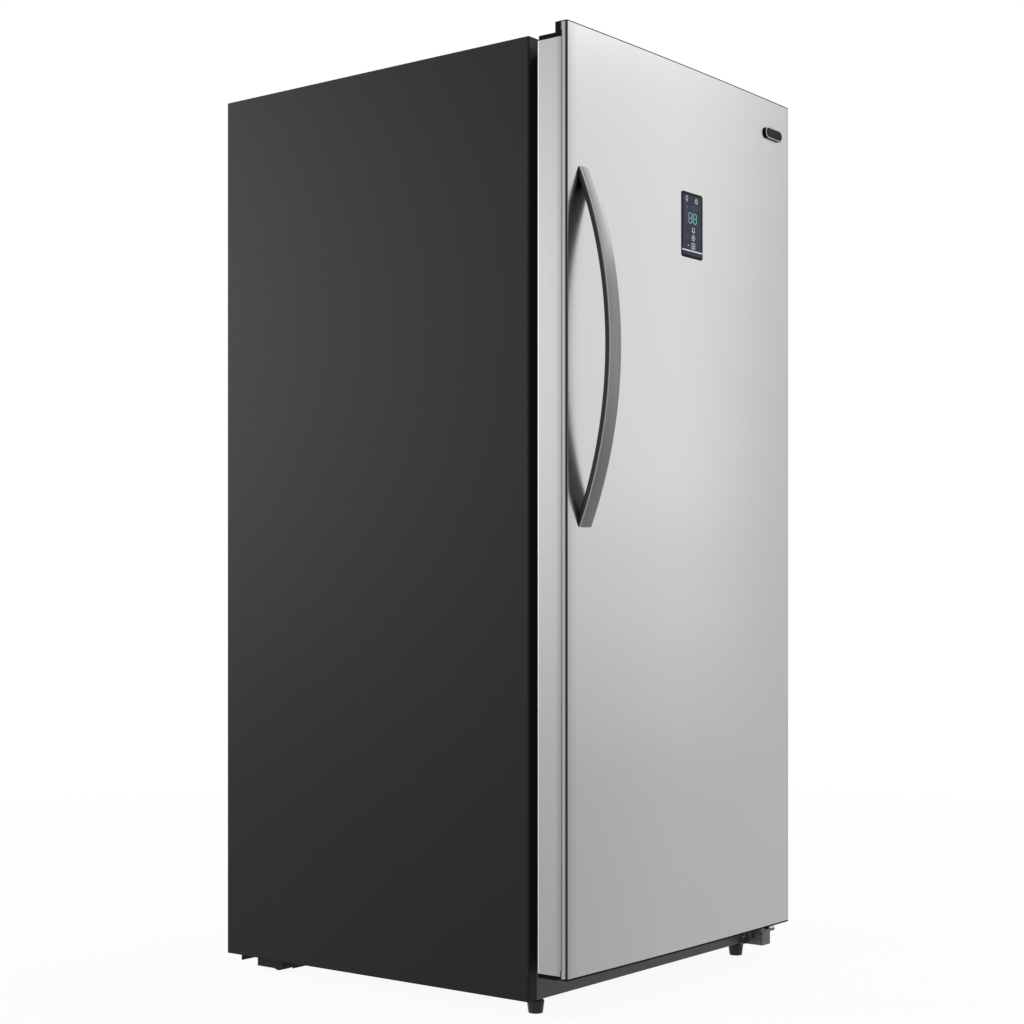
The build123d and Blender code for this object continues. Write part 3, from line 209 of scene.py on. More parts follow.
stipple = {
    "cellDepth": 0.9, "smallScale": 1.9, "smallDetail": 2.0, "smallDepth": 0.5, "cloud": (2.2, 3.0),
    "dustHeights": (0.02, 0.30), "reliefShare": 0.35, "cloudShare": 0.45, "dustShare": 0.15,
    "shades": (0.82, 1.22), "reliefMiddle": 0.8, "gloss": 0.10, "dustGloss": 0.06,
}


def stippledSheet(name, look):
    # pre-coated sheet: rounded cells and smaller soft noise make the stipple, with glossier and darker hollows, and a
    # little dust lies low down
    graph = Graph(name)
    cells = graph.cells(look["cells"], "SMOOTH_F1")
    small = graph.noise(look["cells"] * stipple["smallScale"], stipple["smallDetail"])
    relief = 1 - cells * stipple["cellDepth"] + small * stipple["smallDepth"]
    cloud = graph.noise(*stipple["cloud"])
    dust = 1 - graph.ramp(graph.metres(2), *stipple["dustHeights"])
    shade = relief * stipple["reliefShare"] + cloud * stipple["cloudShare"] + dust * stipple["dustShare"]
    colour = graph.shades(shade.clamped(), look["colour"], *stipple["shades"])
    rough = look["roughness"] + relief.swing(stipple["gloss"], stipple["reliefMiddle"]) + dust * stipple["dustGloss"]
    return graph.surface(Base_Color=colour, Roughness=rough.clamped(), Specular_IOR_Level=look["specular"],
                         Normal=graph.bump(relief, look["depth"], look["strength"]))


moulding = {
    "grainDetail": 3.0, "cloud": (6.0, 2.0), "shades": (0.93, 1.07), "gloss": 0.16, "specular": 0.5, "bump": 0.5,
}


def mouldedPlastic(name, look):
    # spark-eroded grain: fine noise in the bump and the roughness, slow cloud in the colour
    graph = Graph(name)
    grain = graph.noise(look["grain"], moulding["grainDetail"])
    cloud = graph.noise(*moulding["cloud"])
    colour = graph.shades(cloud, look["colour"], *moulding["shades"])
    rough = look["roughness"] + grain.swing(moulding["gloss"])
    return graph.surface(Base_Color=colour, Roughness=rough.clamped(),
                         Specular_IOR_Level=look.get("specular", moulding["specular"]),
                         Normal=graph.bump(grain, look["depth"], moulding["bump"]))


zincCoat = {
    "fine": (240.0, 2.0), "cellShare": 0.6, "fineShare": 0.4, "gloss": 0.18, "metallic": 0.85, "depth": 0.00004,
    "bump": 0.4,
}


def galvanisedSheet(name, look):
    # zinc spangle: each Voronoi cell keeps its own shade and gloss, dulled by fine noise
    graph = Graph(name)
    spangle = graph.cells(look["spangle"], output="Color")
    tone = graph.add("ShaderNodeSeparateColor", inputs={0: spangle})
    fine = graph.noise(*zincCoat["fine"])
    shade = tone * zincCoat["cellShare"] + fine * zincCoat["fineShare"]
    colour = graph.shades(shade, look["colour"], 1 - look["contrast"], 1 + look["contrast"])
    rough = look["roughness"] + tone.swing(zincCoat["gloss"])
    return graph.surface(Base_Color=colour, Metallic=zincCoat["metallic"], Roughness=rough.clamped(),
                         Normal=graph.bump(fine, zincCoat["depth"], zincCoat["bump"]))


rubberSkin = {
    "bloom": (18.0, 3.0), "grain": (900.0, 1.0), "shades": (1.0, 1.5), "gloss": 0.12, "depth": 0.00003, "bump": 0.4,
}


def softRubber(name, look):
    # matte rubber: bloom in patches, very fine grain
    graph = Graph(name)
    bloom = graph.noise(*rubberSkin["bloom"])
    grain = graph.noise(*rubberSkin["grain"])
    colour = graph.shades(bloom, look["colour"], *rubberSkin["shades"])
    rough = look["roughness"] + bloom.swing(rubberSkin["gloss"])
    return graph.surface(Base_Color=colour, Roughness=rough.clamped(),
                         Normal=graph.bump(grain, rubberSkin["depth"], rubberSkin["bump"]))


panes = {"waveDetail": 1.0, "dust": (60.0, 3.0), "gloss": 0.04, "depth": 0.0004, "bump": 0.25}


def clearPane(name, look):
    # see-through plastic or glass: faint waviness in the bump, a trace of dust in the roughness
    graph = Graph(name)
    wave = graph.noise(look["wave"], panes["waveDetail"])
    dust = graph.noise(*panes["dust"])
    rough = look["roughness"] + dust.swing(panes["gloss"])
    return graph.surface(Base_Color=look["colour"], Roughness=rough.clamped(), Transmission_Weight=look["clear"],
                         IOR=look["index"], Normal=graph.bump(wave, panes["depth"], panes["bump"]))


def cutFoam(name, look):
    # closed-cell insulation: pitted cells in bump and colour, dark with sealer where it meets the outer sheets
    graph = Graph(name)
    pits = graph.cells(look["cells"])
    colour = graph.shades(pits, look["colour"], *look["shades"])
    sealed = graph.ramp(graph.metres(0).size(), *look["sealed"])
    colour = graph.tint(sealed, colour, look["sealer"])
    return graph.surface(Base_Color=colour, Roughness=look["roughness"],
                         Normal=graph.bump(pits, look["depth"], look["bump"]))


printing = {"mottle": (90.0, 3.0), "shades": (0.85, 1.15), "gloss": 0.05, "coatRoughness": 0.04}


def darkGlass(name, look):
    # printed glass: the print's own faint mottling, in colour and roughness
    graph = Graph(name)
    mottle = graph.noise(*printing["mottle"])
    colour = graph.shades(mottle, look["colour"], *printing["shades"])
    rough = look["roughness"] + mottle.swing(printing["gloss"])
    return graph.surface(Base_Color=colour, Roughness=rough.clamped(), Coat_Weight=look["coat"],
                         Coat_Roughness=printing["coatRoughness"], Specular_IOR_Level=look["specular"])


ink = {"mottle": (700.0, 1.0), "shades": (0.9, 1.0), "roughness": 0.4, "specular": 0.05}


def glow(name, colour, light):
    # a printed or lit mark: its colour, and as much light as its strength says
    graph = Graph(name)
    mottle = graph.noise(*ink["mottle"])
    shaded = graph.shades(mottle, colour, *ink["shades"])
    return graph.surface(Base_Color=shaded, Roughness=ink["roughness"], Specular_IOR_Level=ink["specular"],
                         Emission_Color=colour, Emission_Strength=light)


# materials of the carried-over solids
evenGrain, doorGrain, handleGrain = (1, 1, 1), (9, 9, 0.12), (8, 8, 0.1)      # how the grain is squeezed on each axis
steel = {"colour": (0.42, 0.42, 0.42), "roughness": 0.205, "grain": 95.0, "along": doorGrain, "contrast": 0.035,
         "depth": 0.00001}
doorEdge = {"colour": (0.362, 0.362, 0.362), "roughness": 0.34, "grain": 95.0, "along": doorGrain, "contrast": 0.03,
            "depth": 0.00001, "metallic": 0.9}
polished = {"colour": (0.55, 0.55, 0.55), "roughness": 0.28, "grain": 300.0, "along": evenGrain, "contrast": 0.05,
            "depth": 0.00001}
finMetal = {"colour": (0.72, 0.73, 0.74), "roughness": 0.34, "grain": 200.0, "along": evenGrain, "contrast": 0.06,
            "depth": 0.00002}
copperTube = {"colour": (0.72, 0.36, 0.22), "roughness": 0.32, "grain": 200.0, "along": evenGrain, "contrast": 0.12,
              "depth": 0.00002}
blackSheet = {"colour": (0.0112, 0.0112, 0.0114), "roughness": 0.46, "cells": 420.0, "depth": 0.00022,
              "strength": 0.55, "specular": 0.13}
railCoat = {"colour": (0.052, 0.052, 0.0535), "roughness": 0.45, "cells": 500.0, "depth": 0.00012,
            "strength": 0.4, "specular": 0.5}
blackPlastic = {"colour": (0.007, 0.007, 0.0073), "roughness": 0.48, "grain": 900.0, "depth": 0.00006, "specular": 0.16}
capPlastic = {**blackPlastic, "colour": (0.0025, 0.0025, 0.0026), "roughness": 0.55, "specular": 0.05}
footPlastic = {**blackPlastic, "colour": (0.017, 0.017, 0.0175), "specular": 0.3}
whitePlastic = {"colour": (0.78, 0.79, 0.80), "roughness": 0.32, "grain": 500.0, "depth": 0.00003}
greyPlastic = {"colour": (0.25, 0.26, 0.27), "roughness": 0.45, "grain": 700.0, "depth": 0.00004}
enamel = {"colour": (0.012, 0.012, 0.012), "roughness": 0.22, "grain": 260.0, "depth": 0.00008}
zinc = {"colour": (0.36, 0.365, 0.37), "spangle": 70.0, "roughness": 0.42, "contrast": 0.2}
coverZinc = {"colour": (0.20, 0.203, 0.207), "spangle": 95.0, "roughness": 0.46, "contrast": 0.14}
bracketZinc = {"colour": (0.105, 0.105, 0.107), "spangle": 210.0, "roughness": 0.40, "contrast": 0.45}
rubber = {"colour": (0.018, 0.018, 0.019), "roughness": 0.62}
gasketRubber = {"colour": (0.03, 0.03, 0.031), "roughness": 0.55}
foam = {"colour": (0.72, 0.62, 0.36), "shades": (0.8, 1.0), "cells": 380.0, "depth": 0.0008, "bump": 0.6,
        "roughness": 0.9, "sealed": (0.341, 0.342), "sealer": (0.02, 0.02, 0.02)}     # sealed: metres from the middle
binClear = {"colour": (0.90, 0.94, 0.96), "roughness": 0.08, "wave": 14.0, "clear": 0.92, "index": 1.45}
paneClear = {"colour": (0.88, 0.95, 0.93), "roughness": 0.04, "wave": 9.0, "clear": 0.95, "index": 1.5}
lensClear = {"colour": (0.95, 0.95, 0.93), "roughness": 0.35, "wave": 30.0, "clear": 0.55, "index": 1.45}
displayFinish = {"colour": (0.040, 0.048, 0.073), "roughness": 0.16, "coat": 0.0, "specular": 0.03}
badgeFinish = {"colour": (0.005, 0.005, 0.005), "roughness": 0.18, "coat": 0.0, "specular": 0.05}

# painted shade and painted highlights on the door's sheets, standing in for the light that their bends reflect:
# each pair of distances, in metres, is where a band starts and ends its change
doorPaintedShading = {
    "fold": (0.0024, 0.0044), "foldOnFront": 1.35,      # painted shade of the corner's bend: dark, at the left front corner, narrower on the front
    "foldShade": (0.03, 0.03, 0.03),
    "hem": (0.0002, 0.0004), "hemHighlight": (0.36, 0.36, 0.36),        # painted highlight: paler, behind the fold, facing sideways
    "lapped": (0.0100, 0.0104),                 # painted shade: the hem is as dark as the fold where the caps lap it
    # painted shade where the front turns away towards the fold: margin on a narrow strip, broad on a wide one
    "margin": (0.003, 0.034), "marginWeight": 0.8, "broad": (0.003, 0.30), "broadWeight": 0.26,
    "marginShade": (0.27, 0.27, 0.27),
    "farFold": (0.006, 0.003), "farShade": (0.33, 0.33, 0.33),      # painted shade along the fold at the hinge side
    "sideDip": (0.0, 0.016), "sideShade": (0.22, 0.22, 0.22),       # painted shade where the side sheet turns in towards the hem
    # painted highlight along the side sheet's rear edge
    "rearEdge": (0.0016, 0.0008), "rearHighlight": (0.75, 0.75, 0.75),
}
doorBow = 0.0045        # how far the front stands forward in its middle
skinLow, skinHigh = (np.array(corner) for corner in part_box("door_skin"))
skinWide, cornerY = float(skinHigh[0] - skinLow[0]), skinLow[1] + doorBow


def doorFront(x):
    # the door's front falls back from its middle with the square of the distance from it
    return skinLow[1] + doorBow * (x / skinHigh[0]) ** 2


def skinPaintedShading(graph):
    # the fold's painted shade lies within its width of the corner, on both faces; the front turns away towards it,
    # so the painted shade called margin fades with the square of the distance from it and broad fades evenly over a
    # wider strip; the hem gets a painted highlight, and the lapped hem and the far fold get painted shade
    left, depth = graph.metres(0) - float(skinLow[0]), graph.metres(1) - float(cornerY)
    fold = 1 - graph.ramp((left * doorPaintedShading["foldOnFront"]).larger(depth), *doorPaintedShading["fold"])
    hem = 1 - graph.ramp(left, *doorPaintedShading["hem"])
    lapped = hem * graph.ramp(depth, *doorPaintedShading["lapped"])
    margin = graph.fade(left, *doorPaintedShading["margin"]) * doorPaintedShading["marginWeight"]
    broad = (1 - graph.ramp(left, *doorPaintedShading["broad"])) * doorPaintedShading["broadWeight"]
    farFold = graph.ramp(left, *(skinWide - distance for distance in doorPaintedShading["farFold"]))
    return [(broad, doorPaintedShading["marginShade"]), (margin, doorPaintedShading["marginShade"]), (farFold, doorPaintedShading["farShade"]),
            (hem, doorPaintedShading["hemHighlight"]), (lapped, doorPaintedShading["foldShade"]), (fold, doorPaintedShading["foldShade"])]


def sidePaintedShading(graph):
    # painted shade from the hem backwards, fading with the square of the distance, and a painted highlight at the rear
    # edge
    sideLow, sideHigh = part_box("door_side_left")
    backward, sideDeep = graph.metres(1) - float(sideLow[1]), float(sideHigh[1] - sideLow[1])
    dip = graph.fade(backward, *doorPaintedShading["sideDip"])
    rear = graph.ramp(backward, *(sideDeep - distance for distance in doorPaintedShading["rearEdge"]))
    return [(dip, doorPaintedShading["sideShade"]), (rear, doorPaintedShading["rearHighlight"])]


handleFinish = {
    "colour": (0.132, 0.132, 0.132), "roughness": 0.25, "grain": 120.0, "along": handleGrain, "contrast": 0.06,
    "depth": 0.00002,
    # the masks below lay painted highlights and painted shade on the bar
    "edge": (0.0138, 0.0146), "edgeHighlight": (0.27, 0.27, 0.27),              # metres from the bar's middle
    "flank": (0.0160, 0.0166), "flankShade": (0.035, 0.035, 0.035),
    "face": (0.0, 0.0145), "nearShade": (0.055, 0.055, 0.055), "farShade": (0.36, 0.36, 0.36), "farPower": 1.8,
    "slope": 0.8,
}
handleLow, handleHigh = (np.array(corner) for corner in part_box("handle_bar"))
handleMiddle = (handleLow + handleHigh) / 2


def handlePaintedShading(graph):
    # painted highlights along the rounded edges and painted shade on the flanks; near its top the face is painted
    # paler from left to right, a painted shade and highlight in proportion to the height above its middle
    offset = graph.metres(0) - float(handleMiddle[0])
    high = graph.ramp(graph.metres(2), float(handleMiddle[2]), float(handleHigh[2])) * handleFinish["slope"]
    near = graph.ramp(offset * -1, *handleFinish["face"]) * high
    far = graph.ramp(offset, *handleFinish["face"]).power(handleFinish["farPower"]) * high
    across = offset.size()
    edge = graph.ramp(across, *handleFinish["edge"])
    flank = graph.ramp(across, *handleFinish["flank"])
    return [(near, handleFinish["nearShade"]), (far, handleFinish["farShade"]),
            (edge, handleFinish["edgeHighlight"]), (flank, handleFinish["flankShade"])]


slotSurface = {
    "black_panel": stippledSheet("blackSheet", blackSheet),
    "stainless": brushedMetal("stainlessFront", steel, skinPaintedShading),
    "door_side_metal": brushedMetal("doorSideMetal", doorEdge, sidePaintedShading),
    "black_plastic": mouldedPlastic("blackPlastic", blackPlastic),
    "gasket_rubber": softRubber("gasketRubber", gasketRubber),
    "white_liner": mouldedPlastic("whitePlastic", whitePlastic),
    "foam": cutFoam("insulation", foam),
    "galvanised": galvanisedSheet("zincSheet", zinc),
    "rail_metal": stippledSheet("railCoat", railCoat),
    "handle_metal": brushedMetal("handleMetal", handleFinish, handlePaintedShading),
    "display_black": darkGlass("displayGlass", displayFinish),
    "badge_black": darkGlass("badgeBlack", badgeFinish),
    "clear_bin": clearPane("clearBin", binClear),
    "shelf_pane": clearPane("shelfPane", paneClear),
    "lamp_lens": clearPane("lampLens", lensClear),
    "black_enamel": mouldedPlastic("blackEnamel", enamel),
    "mount_rubber": softRubber("mountRubber", rubber),
    "coil_aluminium": brushedMetal("finMetal", finMetal),
    "copper": brushedMetal("copperTube", copperTube),
    "steel_pin": brushedMetal("pinSteel", polished),
    "grey_plastic": mouldedPlastic("greyPlastic", greyPlastic),
}
bracketSheet = galvanisedSheet("bracketZinc", bracketZinc)
coverSheet = galvanisedSheet("coverZinc", coverZinc)
doorCap = mouldedPlastic("capPlastic", capPlastic)
footMoulding = mouldedPlastic("footPlastic", footPlastic)
nodeSurface = {      # nodes that look a little different from the rest of their slot
    "bottom_hinge_bracket": bracketSheet, "rear_cover": coverSheet,
    "door_top_cap": doorCap, "door_bottom_cap": doorCap,
    "levelling_foot_left": footMoulding, "levelling_foot_right": footMoulding,
}
for part in frame["record"]["subparts"]:
    node = frame["nodes"][part["node"]]
    surface = nodeSurface.get(part["node"], slotSurface[part["material_slot"]])
    if node.material_slots:
        for materialSlot in node.material_slots:
            materialSlot.material = surface
    else:
        node.data.materials.append(surface)

# shapes worked out on grids
sharpFrom = 38      # degrees: a smooth piece keeps edges that turn more than this sharp


def makePiece(name, points, faces, body, slot, surface=None, smooth=False):
    # a mesh object from arrays of points and faces, riding on a body, in its slot's surface unless it is given another
    mesh = bpy.data.meshes.new(name)
    mesh.from_pydata(points.tolist(), [], faces if isinstance(faces, list) else faces.tolist())
    mesh.polygons.foreach_set("use_smooth", np.full(len(mesh.polygons), smooth))
    if smooth:
        mesh.set_sharp_from_angle(angle=math.radians(sharpFrom))
    mesh.update()
    mesh.materials.append(surface or slotSurface[slot])
    piece = bpy.data.objects.new(name, mesh)
    bpy.context.scene.collection.objects.link(piece)
    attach(piece, body)
    return piece


def loopFaces(rows, columns):
    # quads of a grid whose two directions both close on themselves
    row, column = np.meshgrid(np.arange(rows), np.arange(columns), indexing="ij")
    nextRow, nextColumn = (row + 1) % rows, (column + 1) % columns
    corners = [(row, column), (row, nextColumn), (nextRow, nextColumn), (nextRow, column)]
    return np.stack([(down * columns + along).ravel() for down, along in corners], axis=1)


def tubeFaces(rows, columns):
    # a closed profile carried along an open path, with an end face at each end
    faces = loopFaces(rows, columns)[: (rows - 1) * columns].tolist()
    return faces + [list(range(columns))[::-1], list(range((rows - 1) * columns, rows * columns))]


def barFaces(count):
    # the six sides of each of count eight-cornered bars
    box = np.array([(0, 3, 2, 1), (4, 5, 6, 7), (0, 1, 5, 4), (1, 2, 6, 5), (2, 3, 7, 6), (3, 0, 4, 7)])
    return (np.arange(count)[:, None, None] * 8 + box[None]).reshape(-1, 4)


def roundedLoop(width, height, radius, steps):
    # a rounded rectangle as points and outward normals: four quarter arcs of one radius, each about its own corner
    angle = (np.arange(4)[:, None] * math.pi / 2 + np.linspace(0, math.pi / 2, steps)[None, :])
    normals = np.stack([np.cos(angle), np.sin(angle)], axis=-1)
    signs = np.array([(1, 1), (-1, 1), (-1, -1), (1, -1)])[:, None, :]
    centres = signs * np.array([width / 2 - radius, height / 2 - radius])
    return (centres + radius * normals).reshape(-1, 2), normals.reshape(-1, 2)


def sweptFrame(width, height, radius, steps, profile, plane):
    # a closed profile (outward, forward) carried round a rounded rectangle; plane puts (across, up, forward) in space
    loop, normals = roundedLoop(width, height, radius, steps)
    acrossUp = loop[:, None, :] + profile[None, :, :1] * normals[:, None, :]
    forward = np.broadcast_to(profile[None, :, 1:], (len(loop), len(profile), 1))
    flat = np.concatenate([acrossUp, forward], axis=2)
    return plane(flat.reshape(-1, 3)), loopFaces(len(loop), len(profile))[:, ::-1]


def boxPoints(boxes):
    # eight corners of each box, given as (low x, high x, low y, high y, low z, high z)
    box = np.array(boxes, dtype=float)
    pick = np.array([(0, 2, 4), (1, 2, 4), (1, 3, 4), (0, 3, 4), (0, 2, 5), (1, 2, 5), (1, 3, 5), (0, 3, 5)])
    return box[:, pick].reshape(-1, 3), barFaces(len(box))


def strokes(lines, width, low, high, overrun=0.3):
    # each line (across, up, across, up) becomes a flat bar of that width between two depths, and runs on at both ends
    # by overrun times its width
    ends = np.array(lines, dtype=float).reshape(-1, 2, 2)
    along = ends[:, 1] - ends[:, 0]
    along /= np.linalg.norm(along, axis=1, keepdims=True)
    side = np.stack([-along[:, 1], along[:, 0]], axis=1) * width / 2
    ends = ends + np.stack([-along, along], axis=1) * width * overrun
    outline = np.stack([ends[:, 0] - side, ends[:, 1] - side, ends[:, 1] + side, ends[:, 0] + side], axis=1)
    layers = [np.concatenate([outline, np.full((len(ends), 4, 1), depth)], axis=2) for depth in (low, high)]
    return np.concatenate(layers, axis=1).reshape(-1, 3), barFaces(len(ends))


def sideButton(name, x, y, z, look, body):
    # four rings about an axis across the object, facing left, joined in turn; the two inner ones are six-sided, as a
    # socket is: a circle's radius times the cosine of 30 degrees over the cosine of the turn from each side's middle
    sides, sixth = look["sides"], math.pi / 3
    turn = np.arange(sides) * 2 * math.pi / sides
    hexagon = math.cos(sixth / 2) / np.cos(turn % sixth - sixth / 2)
    radii = np.array(look["radii"])[:, None] * np.stack([np.ones(sides)] * 2 + [hexagon] * 2)
    proud = np.broadcast_to(np.array(look["proud"])[:, None], radii.shape)
    points = np.stack([x - proud, y + radii * np.cos(turn), z + radii * np.sin(turn)], axis=2)
    makePiece(name, points.reshape(-1, 3), [face[::-1] for face in tubeFaces(*radii.shape)], body, "mount_rubber")


# handle: a bow with a crowned outer face, and the sockets of its grub screws
handle = {
    "sagitta": 0.057, "end": 0.003, "thickness": 0.010, "thinnest": 0.0002,
    "crown": 0.0009, "edge": 0.0018, "edgePower": 12, "innerEdge": 0.0008,
    "stations": 120, "across": 25,
    "grubFromEnd": 0.024, "grubBack": 0.053,
    "grub": {"sides": 24, "radii": (0.0021, 0.0017, 0.0011, 0.0009), "proud": (0.0, 0.00018, 0.00018, 0.00002)},
}


def bowedBar():
    # the section is carried round an arc; its outer side falls back from the arc by the crown times the square of the
    # place across plus the edge times a high power of it, and its inner side stops at the door
    halfLength = (handleHigh[2] - handleLow[2]) / 2
    radius = (halfLength ** 2 + handle["sagitta"] ** 2) / (2 * handle["sagitta"])
    centreY, halfWidth = handleLow[1] + radius, (handleHigh[0] - handleLow[0]) / 2
    angle = np.linspace(-1, 1, handle["stations"]) * math.asin(halfLength / radius)
    doorDepth = radius - handle["sagitta"] - handle["end"]
    inner = np.maximum(radius - handle["thickness"], doorDepth / np.cos(angle))
    u = np.sin(np.linspace(-1, 1, handle["across"]) * math.pi / 2)
    v = u[::-1]
    drop = handle["crown"] * u ** 2 + handle["edge"] * np.abs(u) ** handle["edgePower"]
    lift = handle["innerEdge"] * np.abs(v) ** handle["edgePower"]
    outerReach = np.broadcast_to(radius - drop, (len(angle), len(drop)))
    innerReach = np.minimum(inner[:, None] + lift[None, :], outerReach[:, ::-1] - handle["thinnest"])
    reach = np.concatenate([outerReach, innerReach], axis=1)
    x = np.broadcast_to(handleMiddle[0] + halfWidth * np.concatenate([u, v]), reach.shape)
    y, z = centreY - reach * np.cos(angle)[:, None], handleMiddle[2] + reach * np.sin(angle)[:, None]
    return np.stack([x, y, z], axis=2).reshape(-1, 3), tubeFaces(*reach.shape)


handleBow = makePiece("handleBow", *bowedBar(), "door", "handle_metal", smooth=True)
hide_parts("handle_bar")
for end, z in (("Low", handleLow[2] + handle["grubFromEnd"]), ("High", handleHigh[2] - handle["grubFromEnd"])):
    sideButton("handleGrub" + end, handleLow[0], handleLow[1] + handle["grubBack"], z, handle["grub"], "door")
print("handle bowed")

# underside: roller housings and cross ties of the base, and the plug in the lower hinge bracket
base = {
    "top": 0.024, "sheet": 0.0016,
    "housing": {"across": (0.289, 0.3345), "back": (0.2845, 0.345), "low": 0.006},
    "ties": {"back": (0.2595, 0.3855), "reach": 0.333, "slot": (0.306, 0.321), "slotTop": 0.0165, "low": 0.0107},
    "plugPlace": (0.3172, -0.28898, 0.03675),
    "plug": {"sides": 24, "radii": (0.0042, 0.0036, 0.0024, 0.0021), "proud": (0.0, 0.0006, 0.0006, 0.0001)},
}


def onSide(side, near, far):
    # a range across the object between two distances from its middle; side is -1 on the left and 1 on the right
    return sorted((side * near, side * far))


def housingBoxes(side):
    # four walls round a roller, open below
    near, far = base["housing"]["across"]
    front, rear = base["housing"]["back"]
    sheet = base["sheet"]
    walls = [(near, near + sheet, front, rear), (far - sheet, far, front, rear),
             (near + sheet, far - sheet, front, front + sheet), (near + sheet, far - sheet, rear - sheet, rear)]
    return [(*onSide(side, *wall[:2]), *wall[2:], base["housing"]["low"], base["top"]) for wall in walls]


def tieBoxes():
    # a strip across the base at each place; near each end a slot leaves only its lowest part
    ties, boxes = base["ties"], []
    (near, far), low, top = ties["slot"], ties["low"], base["top"]
    for place in ties["back"]:
        depth = (place, place + base["sheet"])
        boxes.append((-near, near, *depth, low, top))
        for side in (-1, 1):
            boxes.append((*onSide(side, near, far), *depth, low, ties["slotTop"]))
            boxes.append((*onSide(side, far, ties["reach"]), *depth, low, top))
    return boxes


sideButton("bracketPlug", *base["plugPlace"], base["plug"], "cabinet")
makePiece("rollerHousings", *boxPoints(housingBoxes(-1) + housingBoxes(1)), "cabinet", "black_plastic")
makePiece("baseTies", *boxPoints(tieBoxes()), "cabinet", "black_plastic")
print("underside added")

# lip of the door's bottom cap, a dark strip under the door's front that also stands in as a painted shadow of the gap
# below it
lip = {"reach": 0.3478, "behindFront": 0.0006, "depth": 0.014, "low": 0.0661, "intoSkin": 0.0002, "stations": 33}


def lipStrip():
    # a rectangle carried across the door, whose place follows the door's front
    x = np.linspace(-lip["reach"], lip["reach"], lip["stations"])
    front = doorFront(x) + lip["behindFront"]
    y = np.stack([front, front, front + lip["depth"], front + lip["depth"]], axis=1)
    high = skinLow[2] + lip["intoSkin"]
    z = np.broadcast_to([high, lip["low"], lip["low"], high], y.shape)
    return np.stack([np.broadcast_to(x[:, None], y.shape), y, z], axis=2).reshape(-1, 3), tubeFaces(*y.shape)


makePiece("doorLipAndShadow", *lipStrip(), "door", "black_plastic", doorCap)
print("lip added")

# display: symbols, two digits, a dark border and a metal strip on the glass; depths are from the glass's face
display = {
    "line": 0.0010, "printSunk": 0.00005, "printProud": 0.00008,
    "symbolColour": (0.74, 0.79, 0.84), "symbolLight": 0.15, "faintColour": (0.17, 0.185, 0.21),
    "digitPlaces": ((-0.0110, 0.0125), (0.0035, 0.0125)),       # the left end of each digit's middle bar
    "segment": (0.0098, 0.0082), "digitLine": 0.0015, "digitGap": 0.9,      # the gap is a share of the line
    "digitOff": (0.48, 0.51, 0.54), "digitOn": (0.12, 0.78, 0.74), "digitLight": 0.25,
    "border": 0.0046, "borderInset": 0.0002, "borderDepth": 0.00004, "borderCorner": 0.003, "borderSteps": 6,
    "borderShade": (0.003, 0.0035, 0.005),
    "stripFromBottom": 0.0112, "stripHeight": 0.0022, "stripMargin": 0.0012, "stripSunk": 0.0001,
    "stripProud": 0.00035, "stripFinish": {**polished, "colour": (0.46, 0.46, 0.47), "roughness": 0.3},
}
glassLow, glassHigh = (np.array(corner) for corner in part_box("display_glass"))
glassMiddle = (glassLow + glassHigh) / 2


def onGlass(flat):
    # (across, up, forward) measured from the middle of the display's face
    return np.stack([glassMiddle[0] + flat[:, 0], glassLow[1] - flat[:, 2], glassMiddle[2] + flat[:, 1]], axis=1)


def ring(x, z, radius, sides, start=0.0, share=1.0):
    # short lines round a circle, or round a share of it
    angle = start + np.linspace(0, 2 * math.pi * share, sides + 1)
    spots = np.stack([x + radius * np.cos(angle), z + radius * np.sin(angle)], axis=1)
    return np.concatenate([spots[:-1], spots[1:]], axis=1).tolist()


def rectangle(x0, z0, x1, z1):
    # its bottom, top, left and right
    return [(x0, z0, x1, z0), (x0, z1, x1, z1), (x0, z0, x0, z1), (x1, z0, x1, z1)]


def cross(x, z, reach):
    # an upright and a level line through one place
    return [(x, z - reach, x, z + reach), (x - reach, z, x + reach, z)]


def digit(x, z, letters):
    # the bars of a seven-bar digit that the letters name: a on top, then clockwise, and g in the middle; each stops
    # short of the digit's corners by the gap
    wide, tall = display["segment"]
    bars = {"a": (x, z + tall, x + wide, z + tall), "b": (x + wide, z, x + wide, z + tall),
            "c": (x + wide, z - tall, x + wide, z), "d": (x, z - tall, x + wide, z - tall),
            "e": (x, z - tall, x, z), "f": (x, z, x, z + tall), "g": (x, z, x + wide, z)}
    gap = display["digitLine"] * display["digitGap"]
    return [(x0 + gap * (x1 > x0), z0 + gap * (z1 > z0), x1 - gap * (x1 > x0), z1 - gap * (z1 > z0))
            for letter, (x0, z0, x1, z1) in bars.items() if letter in letters]


def millimetres(lines):
    return [[part / 1000 for part in line] for line in lines]


